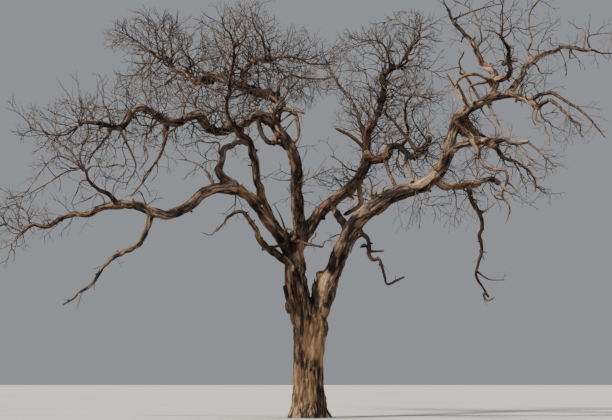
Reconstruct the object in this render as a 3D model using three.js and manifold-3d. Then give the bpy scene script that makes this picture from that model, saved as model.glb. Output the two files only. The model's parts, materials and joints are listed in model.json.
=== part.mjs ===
// A large savanna tree, bare in the dry season: a short stout trunk that forks low into two
// stems, crooked spreading boughs, and masses of fine leafless twigs at the boughs' ends.
// Millimetres, +Z up, +X to the right and +Y away. The origin is on the flat cut under the trunk.
import * as THREE from 'three';
import { mergeVertices } from 'three/addons/utils/BufferGeometryUtils.js';
import Module from 'manifold-3d';

const wasm = await Module();
wasm.setup();

// Driving dimensions.
const clearance = 0.3; // gap between neighbouring pieces
const limbSides = { stout: 8, thin: 6, from: 330 }; // stout from this thickness
const limbStep = 700; // length of limb between two rings
const collar = { swell: 0.3, reach: 1.3 }; // how a limb widens where it leaves its parent
const trunk = {
  height: 3060,
  dome: 200, // rise of the top between the two stems
  sides: 16,
  rings: 8,
  lean: [[0, 0], [-10, 1500], [30, 2200], [80, 2670], [90, 3060]], // axis: across, up
  girth: [[530, 0], [485, 350], [452, 1000], [450, 1700], [480, 2250], [540, 2670], [610, 3060]],
  flatten: 0.78, // depth over width at the fork
  roots: { count: 5, swell: 190, fade: 420, turn: 0.6 },
};

// The bends below are given as they are seen from a place south of the trunk: across and up, on
// the upright plane through the trunk, then how far the bend lies behind that plane, which
// depth then stretches.
const seen = { from: 50000, eye: 1500, middle: 6210, depth: 1.4 };

// Each limb leaves an earlier one near its own first bend. Thick is its thickness at the start
// and at the end.
const limbs = {
  leftStem: {
    from: 'trunk', thick: [640, 620],
    bends: [[-40, 2400, 0], [-230, 3150, 0], [-330, 3900, 0], [-420, 4650, 0], [-400, 5300, 0]],
  },
  rightStem: {
    from: 'trunk', thick: [560, 430],
    bends: [[120, 2400, 0], [350, 3150, 0], [600, 3900, -70], [810, 4530, -200],
      [1110, 5280, -350], [1500, 5910, -550], [2100, 6420, -800]],
  },
  leftArm: {
    from: 'leftStem', thick: [400, 330],
    bends: [[-420, 4800, 0], [-700, 5220, -150], [-1000, 5620, -300], [-1360, 6120, -500],
      [-1740, 6570, -800], [-2310, 6990, -1100]],
  },
  centreBough: {
    from: 'leftStem', thick: [400, 330],
    bends: [[-350, 5060, 0], [-210, 5640, 150], [-300, 6180, 350], [-360, 6900, 550],
      [-370, 7700, 700], [-660, 8340, 900], [-930, 8670, 1100], [-1140, 8910, 1200]],
  },
  frontBough: {
    from: 'leftStem', thick: [250, 110],
    bends: [[-390, 5150, 0], [-260, 5700, -800], [-290, 6300, -1700], [-350, 7000, -2500],
      [-370, 7650, -3200], [-580, 8250, -3800], [-860, 8680, -4200]],
  },
  midRight: {
    from: 'leftStem', thick: [390, 290],
    bends: [[-330, 5000, 50], [90, 5760, 400], [390, 6135, 700], [810, 6510, 1200],
      [1230, 6825, 1600], [1560, 7200, 2000], [1770, 7650, 2300], [1890, 7860, 2400]],
  },
  longLeft: {
    from: 'leftArm', thick: [340, 240],
    bends: [[-2310, 6990, -1100], [-2700, 6870, -1200], [-3240, 6630, -1400], [-3660, 6300, -1600],
      [-4140, 6060, -1800], [-4620, 6120, -1900], [-5160, 6330, -1900], [-5670, 6435, -1800]],
  },
  longLeftOuter: {
    from: 'longLeft', thick: [235, 90],
    bends: [[-5670, 6435, -1800], [-6210, 6285, -1600], [-6570, 6075, -1400], [-7110, 6075, -1200],
      [-7530, 5895, -1000], [-7890, 5685, -800], [-8280, 5745, -700], [-8610, 5505, -600]],
  },
  longLeftDrop: {
    from: 'longLeft', thick: [190, 60],
    bends: [[-4770, 6150, -1900], [-4845, 5610, -2000], [-5040, 5220, -2200], [-5490, 4950, -2500],
      [-5880, 4740, -2700], [-6210, 4350, -2900], [-6630, 3900, -3000], [-7380, 3360, -3200]],
  },
  leftLoop: {
    from: 'leftArm', thick: [240, 140],
    bends: [[-2250, 7000, -1080], [-2640, 7300, -1150], [-2610, 7680, -900], [-2490, 8010, -700],
      [-2220, 8190, -300], [-1890, 8250, 200]],
  },
  droopLeft: {
    from: 'leftStem', thick: [260, 60],
    bends: [[-400, 4560, -80], [-1080, 4980, -400], [-1440, 5340, -700], [-1710, 5880, -1000],
      [-2040, 6150, -1300], [-2430, 5970, -1600], [-2790, 5610, -1800]],
  },
  leftCentre: {
    from: 'leftArm', thick: [300, 200],
    bends: [[-650, 5180, -100], [-1050, 5850, -200], [-1380, 6540, -500], [-1480, 6960, -800],
      [-1570, 7410, -1050], [-1620, 7830, -1300], [-1760, 8220, -1500], [-2060, 8480, -1700],
      [-2340, 8790, -1900]],
  },
  leftCentreTop: {
    from: 'leftCentre', thick: [200, 110],
    bends: [[-2340, 8790, -1900], [-2450, 9150, -2100], [-2400, 9630, -2300], [-2320, 10290, -2700],
      [-2220, 10770, -3000], [-2200, 11160, -3200]],
  },
  highLeft: {
    from: 'centreBough', thick: [320, 230],
    bends: [[-1140, 8910, 1200], [-960, 9150, 1300], [-830, 9370, 1380], [-960, 9570, 1450],
      [-1260, 9675, 1500], [-1650, 9810, 1600], [-2400, 10065, 1500], [-3030, 10230, 1700]],
  },
  highLeftOuter: {
    from: 'highLeft', thick: [230, 110],
    bends: [[-3030, 10230, 1700], [-3230, 10050, 1850], [-3450, 10110, 2000], [-3660, 10320, 2150],
      [-4080, 10470, 2400], [-4200, 10710, 2600], [-4440, 10830, 2800], [-4770, 10950, 3000]],
  },
  midLeft: {
    from: 'centreBough', thick: [290, 250],
    bends: [[-1100, 8880, 1180], [-1470, 9060, 850], [-1830, 8850, 400], [-2220, 8655, 0],
      [-2610, 8580, -400], [-2970, 8685, -800], [-3210, 8940, -1100], [-3360, 9150, -1300]],
  },
  midLeftOuter: {
    from: 'midLeft', thick: [245, 200],
    bends: [[-3360, 9150, -1300], [-3660, 8970, -1600], [-4020, 8805, -2000], [-4320, 8880, -2300],
      [-4590, 9105, -2600], [-4950, 9285, -2900], [-5250, 9180, -3100], [-5460, 8940, -3250]],
  },
  midLeftTip: {
    from: 'midLeftOuter', thick: [195, 90],
    bends: [[-5460, 8940, -3250], [-5610, 8710, -3350], [-5880, 8685, -3500], [-6240, 8820, -3800],
      [-6660, 8865, -4100], [-6930, 8700, -4300]],
  },
  archBough: {
    from: 'highLeft', thick: [220, 130],
    bends: [[-1950, 9900, 1580], [-1920, 10260, 1450], [-1770, 10530, 1250], [-1500, 10725, 1000],
      [-1170, 10680, 750], [-960, 10740, 600]],
  },
  midRightUp: {
    from: 'midRight', thick: [250, 180],
    bends: [[1890, 7860, 2400], [1740, 8160, 2500], [1800, 8490, 2600], [1980, 8865, 2800],
      [2175, 9330, 3000], [2265, 9750, 3100], [2295, 10170, 3200], [2460, 10410, 3200],
      [2760, 10500, 3200]],
  },
  backBough: {
    from: 'midRight', thick: [250, 120],
    bends: [[500, 6230, 820], [860, 6560, 1700], [1250, 6840, 2400], [1530, 7200, 3100],
      [1760, 7700, 3700], [1850, 8350, 4200], [1980, 8950, 4500]],
  },
  elbow: {
    from: 'midRight', thick: [250, 90],
    bends: [[1860, 7800, 2380], [2160, 7710, 2150], [2400, 7830, 1850], [2500, 8080, 1600],
      [2670, 8150, 1350], [2880, 7980, 1000], [3090, 7785, 700], [3360, 7920, 650],
      [3600, 8190, 800]],
  },
  rightBough: {
    from: 'rightStem', thick: [425, 350],
    bends: [[2100, 6450, -800], [2670, 6735, -1000], [3210, 6885, -1100], [3690, 7110, -1200],
      [4020, 7500, -1300], [4200, 8010, -1300]],
  },
  rightUp: {
    from: 'rightBough', thick: [330, 270],
    bends: [[4200, 8010, -1300], [4305, 8430, -1200], [4410, 8760, -1100], [4590, 9060, -1000],
      [4860, 9270, -900], [5190, 9420, -800], [5550, 9630, -700]],
  },
  rightArm: {
    from: 'rightUp', thick: [240, 140],
    bends: [[5550, 9630, -700], [6000, 9660, -1000], [6420, 9585, -1400], [6720, 9420, -1700],
      [6900, 9270, -1900]],
  },
  spire: {
    from: 'rightUp', thick: [220, 100],
    bends: [[5500, 9600, -700], [5610, 10000, -600], [5580, 10320, -450], [5340, 10480, -100],
      [5160, 10740, 200], [5040, 11025, 500], [4860, 11280, 800], [4620, 11595, 1100],
      [4350, 11880, 1400], [4200, 12240, 1600]],
  },
  crook: {
    from: 'spire', thick: [180, 110],
    bends: [[5610, 10080, -560], [5820, 10140, -800], [6015, 10250, -1100], [6060, 10470, -1400],
      [6030, 10710, -1700], [6000, 10980, -2000], [5760, 11490, -2400]],
  },
  farRight: {
    from: 'rightArm', thick: [210, 120],
    bends: [[5960, 9660, -980], [6210, 9960, -700], [6440, 10250, -250], [6540, 10560, 300],
      [6810, 10740, 800], [7140, 10890, 1200], [7470, 11025, 1500], [7950, 11085, 1900],
      [8460, 10980, 2300]],
  },
  rightMid: {
    from: 'rightBough', thick: [240, 110],
    bends: [[4020, 7560, -1300], [4350, 8010, -1700], [4710, 8205, -2100], [5160, 8295, -2500],
      [5610, 8265, -2900], [5910, 8340, -3100], [6180, 8205, -3300], [6600, 8250, -3600]],
  },
  rightBack: {
    from: 'rightUp', thick: [250, 60],
    bends: [[4590, 9060, -1000], [4830, 8760, -600], [5130, 8460, -200], [5640, 8080, 800],
      [5880, 7760, 1400], [6360, 7590, 2000], [6810, 7110, 2500], [6810, 6750, 2700]],
  },
  hook: {
    from: 'rightUp', thick: [150, 125],
    bends: [[4400, 8900, -1100], [4530, 8760, -1600], [4710, 8520, -2400], [4950, 8235, -3000],
      [5130, 7950, -3300], [5205, 7680, -3500], [5400, 7470, -3600], [5670, 7410, -3700]],
  },
  hookDrop: {
    from: 'hook', thick: [125, 60],
    bends: [[5670, 7410, -3700], [5910, 7370, -3800], [5985, 7140, -3850], [5850, 6840, -3850],
      [5805, 6630, -3800], [6000, 6360, -3800], [6030, 6120, -3800], [5895, 5820, -3800]],
  },
  rightLow: {
    from: 'rightBough', thick: [170, 115],
    bends: [[3780, 7170, -1220], [4050, 6900, -900], [4410, 6885, -500], [4830, 6975, 0],
      [5190, 7050, 400], [5490, 7155, 700], [5730, 7020, 900]],
  },
  hanging: {
    from: 'rightLow', thick: [150, 70],
    bends: [[4770, 6960, -50], [4905, 6480, 0], [5130, 6045, 100], [5250, 5730, 150],
      [5160, 5460, 200], [5220, 5070, 250], [5085, 4335, 250], [5220, 3900, 300],
      [5400, 3570, 300]],
  },
  lowSnag: {
    from: 'rightStem', thick: [150, 60],
    bends: [[1480, 5700, -500], [1800, 5280, -800], [1830, 4890, -1100], [1965, 4740, -1200],
      [2160, 4720, -1300], [2370, 4005, -1500], [2640, 4050, -1600], [2910, 4155, -1700]],
  },
};

// Each mass grows from a limb on one stem and keeps to its own rounded space. Lean is the way
// its twigs are drawn, and twigs is how many leave the stem.
const up = [0, 0, 1];
const hang = [0, 0, -1];
const masses = {
  farLeftTwigs: {
    from: 'longLeftOuter', thick: 85, lean: up, twigs: 6,
    centre: [-8900, 5700, -500], reach: [800, 760, 900],
    stem: [[-8610, 5505, -600], [-8870, 5690, -520], [-9180, 5780, -420], [-9540, 5700, -300]],
  },
  leftRiserTwigs: {
    from: 'longLeftOuter', thick: 150, lean: up, twigs: 6,
    centre: [-6900, 7500, -2300], reach: [1250, 960, 1200],
    stem: [[-5720, 6430, -1790], [-5970, 6690, -2000], [-6300, 6810, -2200], [-6570, 7110, -2300],
      [-6720, 7410, -2400], [-7150, 7450, -2500]],
  },
  midLeftTwigs: {
    from: 'midLeftTip', thick: 88, lean: up, twigs: 6,
    centre: [-7450, 8950, -4200], reach: [1500, 1050, 1400],
    stem: [[-6930, 8700, -4300], [-7350, 8420, -4350], [-7760, 8450, -4300], [-8350, 8700, -4250]],
  },
  midLeftHang: {
    from: 'midLeftOuter', thick: 150, lean: hang, twigs: 6,
    centre: [-4500, 7800, -2300], reach: [700, 1150, 800],
    stem: [[-4140, 8800, -2120], [-4300, 8280, -2250], [-4470, 7800, -2300], [-4770, 7350, -2300],
      [-5010, 6950, -2350]],
  },
  highLeftTwigs: {
    from: 'highLeftOuter', thick: 108, lean: up, twigs: 7,
    centre: [-5100, 11150, 3200], reach: [1250, 1100, 1300],
    stem: [[-4770, 10950, 3000], [-5010, 11180, 3100], [-5280, 11400, 3200], [-5800, 11600, 3350]],
  },
  highLeftFan: {
    from: 'highLeftOuter', thick: 150, lean: up, twigs: 6,
    centre: [-3650, 11250, 2300], reach: [950, 900, 1300],
    stem: [[-4100, 10480, 2420], [-4110, 11040, 2350], [-4170, 11460, 2300], [-3900, 11850, 2200]],
  },
  innerClump: {
    from: 'midLeft', thick: 130, lean: up, twigs: 7,
    centre: [-3800, 9600, -900], reach: [1150, 720, 1100],
    stem: [[-3330, 9110, -1270], [-3390, 9500, -1150], [-3270, 9750, -1050], [-3600, 9950, -950]],
  },
  topLeftTwigs: {
    from: 'leftCentreTop', thick: 108, lean: up, twigs: 6,
    centre: [-2350, 11500, -3400], reach: [1150, 800, 1300],
    stem: [[-2200, 11160, -3200], [-2300, 11450, -3300], [-2490, 11700, -3400],
      [-2600, 12050, -3500]],
  },
  archRiserTwigs: {
    from: 'archBough', thick: 140, lean: up, twigs: 6,
    centre: [-1400, 11700, 450], reach: [1150, 900, 1250],
    stem: [[-1230, 10700, 790], [-1260, 11040, 700], [-1440, 11430, 500], [-1650, 11850, 400],
      [-1750, 12300, 350]],
  },
  archTwigs: {
    from: 'archBough', thick: 125, lean: up, twigs: 5,
    centre: [-50, 10900, 250], reach: [1250, 950, 1250],
    stem: [[-960, 10740, 600], [-510, 10800, 450], [60, 10620, 300], [600, 10560, 150]],
  },
  rightwardTwigs: {
    from: 'highLeft', thick: 190, lean: hang, twigs: 7,
    centre: [100, 9800, 2400], reach: [1250, 850, 1300],
    stem: [[-900, 9480, 1420], [-870, 10020, 1650], [-600, 10200, 1950], [-200, 10215, 2300],
      [300, 10110, 2600], [800, 10200, 2900]],
  },
  prongTwigs: {
    from: 'midRightUp', thick: 170, lean: up, twigs: 6,
    centre: [800, 10500, 4400], reach: [1200, 950, 1300],
    stem: [[1750, 8180, 2520], [1590, 8730, 3000], [1380, 9360, 3400], [1020, 9870, 3800],
      [780, 10215, 4200], [560, 10700, 4500]],
  },
  upRightTwigs: {
    from: 'midRightUp', thick: 160, lean: up, twigs: 6,
    centre: [3000, 11300, 3000], reach: [1150, 900, 1300],
    stem: [[2760, 10500, 3200], [2980, 10650, 3100], [2955, 10920, 3000], [3150, 11160, 2900],
      [3420, 11385, 2800], [3650, 11390, 2750]],
  },
  upLeftTwigs: {
    from: 'midRightUp', thick: 140, lean: up, twigs: 7,
    centre: [1700, 11150, 2700], reach: [1050, 600, 1000],
    stem: [[2480, 10420, 3200], [2430, 10830, 3050], [2220, 11220, 2900], [1950, 11290, 2750],
      [1590, 11270, 2600]],
  },
  backTwigs: {
    from: 'backBough', thick: 115, lean: up, twigs: 5,
    centre: [2300, 9900, 4850], reach: [1500, 1150, 1000],
    stem: [[1980, 8950, 4500], [2150, 9400, 4600], [2250, 9800, 4750], [2500, 10300, 4900],
      [2650, 10800, 5000]],
  },
  riserTwigs: {
    from: 'elbow', thick: 180, lean: up, twigs: 5,
    centre: [3500, 9650, 500], reach: [950, 720, 1100],
    stem: [[2780, 8070, 1180], [2940, 8310, 1100], [2985, 8610, 1000], [2895, 8940, 900],
      [2900, 9240, 700], [3180, 9660, 400], [3720, 9500, 300]],
  },
  frontTwigs: {
    from: 'frontBough', thick: 108, lean: up, twigs: 6,
    centre: [-700, 9700, -4700], reach: [1450, 1250, 1000],
    stem: [[-860, 8680, -4200], [-1050, 9000, -4400], [-920, 9350, -4550], [-640, 9700, -4700],
      [-560, 10200, -4850]],
  },
  underRightTwigs: {
    from: 'rightBough', thick: 100, lean: hang, twigs: 5,
    centre: [3500, 6150, -1600], reach: [1150, 620, 1100],
    stem: [[3250, 6900, -1120], [3300, 6550, -1500], [3600, 6330, -1700], [4100, 6350, -1850]],
  },
  spireTwigs: {
    from: 'spire', thick: 98, lean: up, twigs: 7,
    centre: [4500, 12250, 1500], reach: [1000, 620, 1000],
    stem: [[4200, 12240, 1600], [4110, 12480, 1650], [4050, 12700, 1700]],
  },
  crookTwigs: {
    from: 'crook', thick: 108, lean: up, twigs: 7,
    centre: [5900, 12000, -2550], reach: [950, 720, 1000],
    stem: [[5760, 11490, -2400], [5830, 11740, -2500], [5820, 12100, -2600], [5760, 12600, -2700]],
  },
  farRightTwigs: {
    from: 'farRight', thick: 118, lean: up, twigs: 7,
    centre: [8850, 11150, 2500], reach: [850, 780, 900],
    stem: [[8460, 10980, 2300], [8790, 10920, 2450], [9180, 10890, 2550], [9560, 10920, 2650]],
  },
  armHighTwigs: {
    from: 'rightArm', thick: 125, lean: hang, twigs: 7,
    centre: [8150, 9000, -2300], reach: [900, 850, 800],
    stem: [[6640, 9480, -1640], [6860, 9660, -1750], [7170, 9705, -1900], [7500, 9660, -2100],
      [7800, 9435, -2200], [8130, 9255, -2300], [8400, 8970, -2400], [8900, 8380, -2500]],
  },
  armLowTwigs: {
    from: 'rightArm', thick: 135, lean: hang, twigs: 7,
    centre: [7600, 8750, -3100], reach: [900, 800, 800],
    stem: [[6900, 9270, -1900], [7080, 9440, -2100], [7290, 9500, -2350], [7500, 9370, -2600],
      [7680, 9135, -2900], [7920, 8940, -3200], [8130, 8760, -3400], [8250, 8430, -3600]],
  },
  rightMidTwigs: {
    from: 'rightMid', thick: 108, lean: hang, twigs: 6,
    centre: [7050, 7850, -3800], reach: [750, 650, 800],
    stem: [[6600, 8250, -3600], [6810, 8010, -3700], [7150, 7740, -3850], [7440, 7500, -3950]],
  },
};

// Seeded random numbers from 0 to 1.
function chance(seed) {
  let state = seed;
  return () => {
    state = (state * 1664525 + 1013904223) % 4294967296;
    return state / 4294967296;
  };
}

// The place of a bend given as [across, up, behind].
const tilt = Math.atan((seen.middle - seen.eye) / seen.from);
function place([across, height, behind]) {
  const sight = new THREE.Vector3(across, seen.from, height - seen.middle);
  sight.applyAxisAngle(new THREE.Vector3(1, 0, 0), tilt);
  sight.multiplyScalar((seen.from + behind * seen.depth) / sight.y);
  return sight.add(new THREE.Vector3(0, -seen.from, seen.eye));
}

// Reads a profile of [value, position] pairs at a position.
function profile(pairs, at) {
  const next = Math.max(1, pairs.findIndex(([, position]) => position >= at));
  const [[low, start], [high, end]] = [pairs[next - 1], pairs[next]];
  return low + (high - low) * THREE.MathUtils.smoothstep(at, start, end);
}

// A closed mesh as a solid that can be joined and cut.
function solid(geometry) {
  geometry.deleteAttribute('normal');
  geometry.deleteAttribute('uv');
  const merged = mergeVertices(geometry, 1e-3);
  return new wasm.Manifold(new wasm.Mesh({
    numProp: 3,
    vertProperties: merged.attributes.position.array,
    triVerts: new Uint32Array(merged.index.array),
  }));
}

// Bends an upright cylinder: each vertex goes where ring(share of the height, angle, distance
// from the axis) says. The cylinder ends in a flat cut, or in a point where the tip is 0.
function sweep(sides, steps, tip, ring) {
  const geometry = new THREE.CylinderGeometry(tip, 1, 1, sides, steps);
  const position = geometry.attributes.position;
  for (let i = 0; i < position.count; i++) {
    const distance = Math.hypot(position.getX(i), position.getZ(i));
    const angle = Math.atan2(-position.getZ(i), position.getX(i));
    const at = ring(position.getY(i) + 0.5, angle, distance);
    position.setXYZ(i, at.x, at.y, at.z);
  }
  return solid(geometry);
}

// A tube along a curve, with radius(t) at the share t of its length, grown by a margin all over.
function tube({ curve, radius, sides, steps, tip = 1 }, margin = 0) {
  const frames = curve.computeFrenetFrames(steps);
  return sweep(sides, steps, tip, (t, angle, distance) => {
    const step = Math.round(t * steps);
    const out = frames.normals[step].clone().multiplyScalar(Math.cos(angle));
    out.addScaledVector(frames.binormals[step], Math.sin(angle));
    const at = curve.getPointAt(t).addScaledVector(out, distance * (radius(t) + margin));
    const past = margin * ((step === steps) - (step === 0));
    return at.addScaledVector(frames.tangents[step], past);
  });
}

// The trunk, grown by a margin where something is cut clear of it.
function trunkSolid(margin) {
  const { height, dome, lean, girth, flatten, roots } = trunk;
  return sweep(trunk.sides, trunk.rings, 1, (t, angle, distance) => {
    const level = height * t ** 1.35;
    const foot = Math.exp(-level / roots.fade) * roots.swell;
    const lobe = 0.5 + 0.5 * Math.cos(roots.count * angle + roots.turn);
    const flute = 1 + 0.03 * Math.cos(3 * angle + 1);
    const radius = distance * (profile(girth, level) * flute + foot * lobe ** 2 + margin);
    const depth = THREE.MathUtils.lerp(1, flatten, t);
    const top = t === 1 ? dome * (1 - distance) + margin : 0;
    return new THREE.Vector3(
      profile(lean, level) + radius * Math.cos(angle),
      radius * depth * Math.sin(angle),
      level + top,
    );
  });
}

// Where a limb starts: on the axis of its parent, near the limb's own first bend.
function start(parent, bend, thick) {
  const last = 1 - (0.4 * thick) / parent.length;
  const places = Array.from({ length: 121 }, (_, i) => parent.curve.getPointAt((last * i) / 120));
  return places.sort((a, b) => a.distanceTo(bend) - b.distanceTo(bend))[0];
}

// A limb's form: its route, and its radius along the route, which swells to a collar at the start.
function limbForm(parent, bends, thick) {
  const [first, ...others] = bends.map(place);
  const route = [start(parent, first, thick[0]), ...others];
  const curve = new THREE.CatmullRomCurve3(route, false, 'centripetal');
  const length = curve.getLength();
  const radius = (t) => {
    const swell = collar.swell * Math.exp((-t * length) / (collar.reach * thick[0]));
    return (THREE.MathUtils.lerp(thick[0], thick[1], t) / 2) * (1 + swell);
  };
  return { curve, length, radius };
}

// Keeps the largest body of a cut, so that no loose scrap is left.
function largest(cut) {
  return cut.decompose().sort((a, b) => b.volume() - a.volume())[0];
}

// Points along a limb or stem, with the radius there, which twigs keep clear of.
function beads(owner, { curve, length, radius }) {
  const count = Math.ceil(length / 90);
  return Array.from({ length: count + 1 }, (_, i) => (
    { owner, at: curve.getPointAt(i / count), radius: radius(i / count) }
  ));
}

// How far out in its space a point is: under 1 inside, over 1 outside.
function outness(space, point) {
  return point.clone().sub(space.centre).divide(space.reach).length();
}

// The way from a point to the edge of a space, along a heading.
function wayOut(space, from, heading) {
  const place = from.clone().sub(space.centre).divide(space.reach);
  const way = heading.clone().divide(space.reach);
  const [a, b, c] = [way.dot(way), place.dot(way), place.dot(place) - 1];
  const inside = b * b - a * c;
  return inside <= 0 ? 0 : (Math.sqrt(inside) - b) / a;
}

// The rule for a mass. Side twigs leave the stem all round it, and smaller twigs leave those.
const rule = {
  angle: 0.95, // between a twig and what it leaves
  turn: 2.4, // round the stem from one twig to the next
  steps: [3, 2], // crooked steps in a twig of the first and of the second level
  share: [0.95, 0.6], // of the way to the edge of the space
  least: 330, // the shortest twig
  crook: 0.8,
  lean: 0.12,
  thin: 0.6, // of the thickness where a smaller twig leaves
  finest: 26,
  clear: 70, // between a twig and the limbs and stems of others
};

// A twig runs on in crooked steps. It is left out where it leaves its space or nears a limb.
function twigRoute(from, heading, length, steps, lean, random, free) {
  const route = [from];
  const way = heading.clone();
  for (let i = 0; i < steps; i++) {
    const crook = new THREE.Vector3(random() - 0.5, random() - 0.5, random() - 0.5);
    way.addScaledVector(crook, rule.crook).addScaledVector(lean, rule.lean).normalize();
    const next = route[i].clone().addScaledVector(way, length / steps);
    const middle = route[i].clone().lerp(next, 0.6);
    if (!free(next) || !free(middle)) return null;
    route.push(next);
  }
  return route;
}

function twigs(stem, mass, random, free) {
  const made = [];
  const lean = new THREE.Vector3(...mass.lean);
  function branch(from, along, turn, thick, level) {
    const side = new THREE.Vector3(0.1, 0.2, 1).cross(along).normalize();
    side.applyAxisAngle(along, turn);
    const heading = along.clone().multiplyScalar(Math.cos(rule.angle));
    heading.addScaledVector(side, Math.sin(rule.angle));
    const room = wayOut(stem.space, from, heading);
    const length = room * rule.share[level] * (0.8 + 0.2 * random());
    const steps = rule.steps[level];
    if (length < rule.least) return;
    const route = twigRoute(from, heading, length, steps, lean, random, free);
    if (!route) return;
    const curve = new THREE.CatmullRomCurve3(route, false, 'centripetal');
    made.push(tube({ curve, radius: () => thick / 2, sides: 3, steps, tip: 0 }));
    if (level === 1) return;
    const joint = 1 + Math.floor(random() * (steps - 1));
    const way = route[joint + 1].clone().sub(route[joint]).normalize();
    const thinner = Math.max(rule.finest, thick * rule.thin * (1 - joint / steps / 2));
    branch(route[joint], way, random() * Math.PI * 2, thinner, 1);
  }
  for (let i = 0; i < mass.twigs; i++) {
    const t = 0.94 - (0.68 * i) / mass.twigs;
    const thick = Math.max(rule.finest * 1.5, stem.radius(t) * 1.4);
    branch(stem.curve.getPointAt(t), stem.curve.getTangentAt(t), i * rule.turn + random(), thick, 0);
  }
  return made;
}

const bark = new THREE.MeshStandardMaterial({ color: 0x6b5746, roughness: 0.95, metalness: 0 });
const twigBark = new THREE.MeshStandardMaterial({ color: 0x5a4a42, roughness: 0.95, metalness: 0 });
const tree = new THREE.Group();

function addNode(name, made, material) {
  const { vertProperties, triVerts } = made.getMesh();
  const geometry = new THREE.BufferGeometry();
  geometry.setAttribute('position', new THREE.BufferAttribute(vertProperties, 3));
  geometry.setIndex(new THREE.BufferAttribute(triVerts, 1));
  geometry.computeVertexNormals();
  const mesh = new THREE.Mesh(geometry, material);
  mesh.name = name;
  tree.add(mesh);
}

// Trunk and limbs, each cut clear of those before it.
const grownBy = clearance * 1.15;
const axis = new THREE.CatmullRomCurve3(trunk.lean.map(([x, z]) => new THREE.Vector3(x, 0, z)));
const forms = { trunk: { curve: axis, length: trunk.height } };
const cutters = [trunkSolid(grownBy)];
const cutClear = (made) => largest(cutters.reduce((left, cutter) => left.subtract(cutter), made));
const occupied = [];
addNode('trunk', trunkSolid(0), bark);
for (const [name, { from, bends, thick }] of Object.entries(limbs)) {
  const form = limbForm(forms[from], bends, thick);
  const steps = Math.ceil(form.length / limbStep) + 2;
  const sides = thick[0] < limbSides.from ? limbSides.thin : limbSides.stout;
  forms[name] = { ...form, sides, steps };
  addNode(name, cutClear(tube(forms[name])), bark);
  cutters.push(tube(forms[name], grownBy));
  occupied.push(...beads(name, form));
}

// The masses' stems, which count as occupied for each other's twigs.
const stems = {};
for (const [name, { from, stem, thick, centre, reach }] of Object.entries(masses)) {
  const form = limbForm(forms[from], stem, [thick, thick * 0.4]);
  const [across, high, deep] = reach;
  const space = { centre: place(centre), reach: new THREE.Vector3(across, deep, high) };
  stems[name] = { ...form, space, sides: 5, steps: Math.ceil(form.length / 450) + 1 };
  occupied.push(...beads(name, form));
}

let seed = 7;
for (const [name, mass] of Object.entries(masses)) {
  const stem = stems[name];
  const others = Object.keys(stems).filter((other) => other !== name);
  const near = occupied.filter(({ owner }) => owner !== name);
  const free = (point) => {
    const own = outness(stem.space, point);
    return own < 1.03
      && others.every((other) => own + 0.06 < outness(stems[other].space, point))
      && near.every(({ at, radius }) => at.distanceTo(point) > radius + rule.clear);
  };
  const parts = [tube(stem), ...twigs(stem, mass, chance(seed), free)];
  addNode(name, cutClear(wasm.Manifold.union(parts).simplify(4)), twigBark);
  seed += 13;
}

export default tree;
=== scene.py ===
import json
import math
import random

import bmesh
import bpy
import numpy as np
from mathutils import Matrix, Vector, noise

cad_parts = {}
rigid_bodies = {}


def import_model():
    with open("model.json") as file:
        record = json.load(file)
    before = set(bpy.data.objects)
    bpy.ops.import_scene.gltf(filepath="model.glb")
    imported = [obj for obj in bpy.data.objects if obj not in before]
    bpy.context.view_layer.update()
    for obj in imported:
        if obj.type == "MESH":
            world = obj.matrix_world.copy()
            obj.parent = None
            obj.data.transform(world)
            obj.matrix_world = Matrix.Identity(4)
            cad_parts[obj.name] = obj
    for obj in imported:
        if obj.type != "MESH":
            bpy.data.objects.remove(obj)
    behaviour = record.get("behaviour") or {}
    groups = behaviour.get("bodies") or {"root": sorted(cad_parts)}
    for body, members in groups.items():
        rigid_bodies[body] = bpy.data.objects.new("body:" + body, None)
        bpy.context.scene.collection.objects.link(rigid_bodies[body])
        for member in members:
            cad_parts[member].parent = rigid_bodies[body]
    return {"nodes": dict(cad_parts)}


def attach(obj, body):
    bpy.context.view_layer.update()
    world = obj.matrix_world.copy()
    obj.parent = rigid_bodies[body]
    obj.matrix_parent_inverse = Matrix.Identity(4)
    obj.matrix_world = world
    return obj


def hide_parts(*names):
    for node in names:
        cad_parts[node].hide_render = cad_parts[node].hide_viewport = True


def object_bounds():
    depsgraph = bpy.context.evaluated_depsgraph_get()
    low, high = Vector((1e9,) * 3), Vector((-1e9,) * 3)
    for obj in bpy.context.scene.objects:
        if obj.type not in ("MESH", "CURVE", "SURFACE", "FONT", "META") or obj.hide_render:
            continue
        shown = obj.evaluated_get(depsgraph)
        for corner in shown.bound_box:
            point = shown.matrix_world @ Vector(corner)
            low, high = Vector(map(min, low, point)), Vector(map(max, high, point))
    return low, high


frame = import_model()
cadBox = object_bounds()
print("frame loaded:", len(frame["nodes"]), "nodes")

# Limbs are sketched as they are seen from the camera: across and up, on the upright plane
# through the trunk, and how far behind that plane. Depth stretches the last one.
seen = {"from": 50.0, "eye": 1.5, "middle": 6.21, "depth": 1.4, "step": 0.03}
tilt = math.atan((seen["middle"] - seen["eye"]) / seen["from"])


def place(across, up, behind):
    y, z = seen["from"], up - seen["middle"]
    y, z = y * math.cos(tilt) - z * math.sin(tilt), y * math.sin(tilt) + z * math.cos(tilt)
    size = (seen["from"] + behind * seen["depth"]) / y
    return Vector((across * size, y * size - seen["from"], z * size + seen["eye"]))


def sketched(point):
    # the other way round: where a point is seen on the plane
    y, z = point.y + seen["from"], point.z - seen["eye"]
    y, z = y * math.cos(tilt) + z * math.sin(tilt), z * math.cos(tilt) - y * math.sin(tilt)
    return Vector((point.x * seen["from"] / y, z * seen["from"] / y + seen["middle"]))


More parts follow.
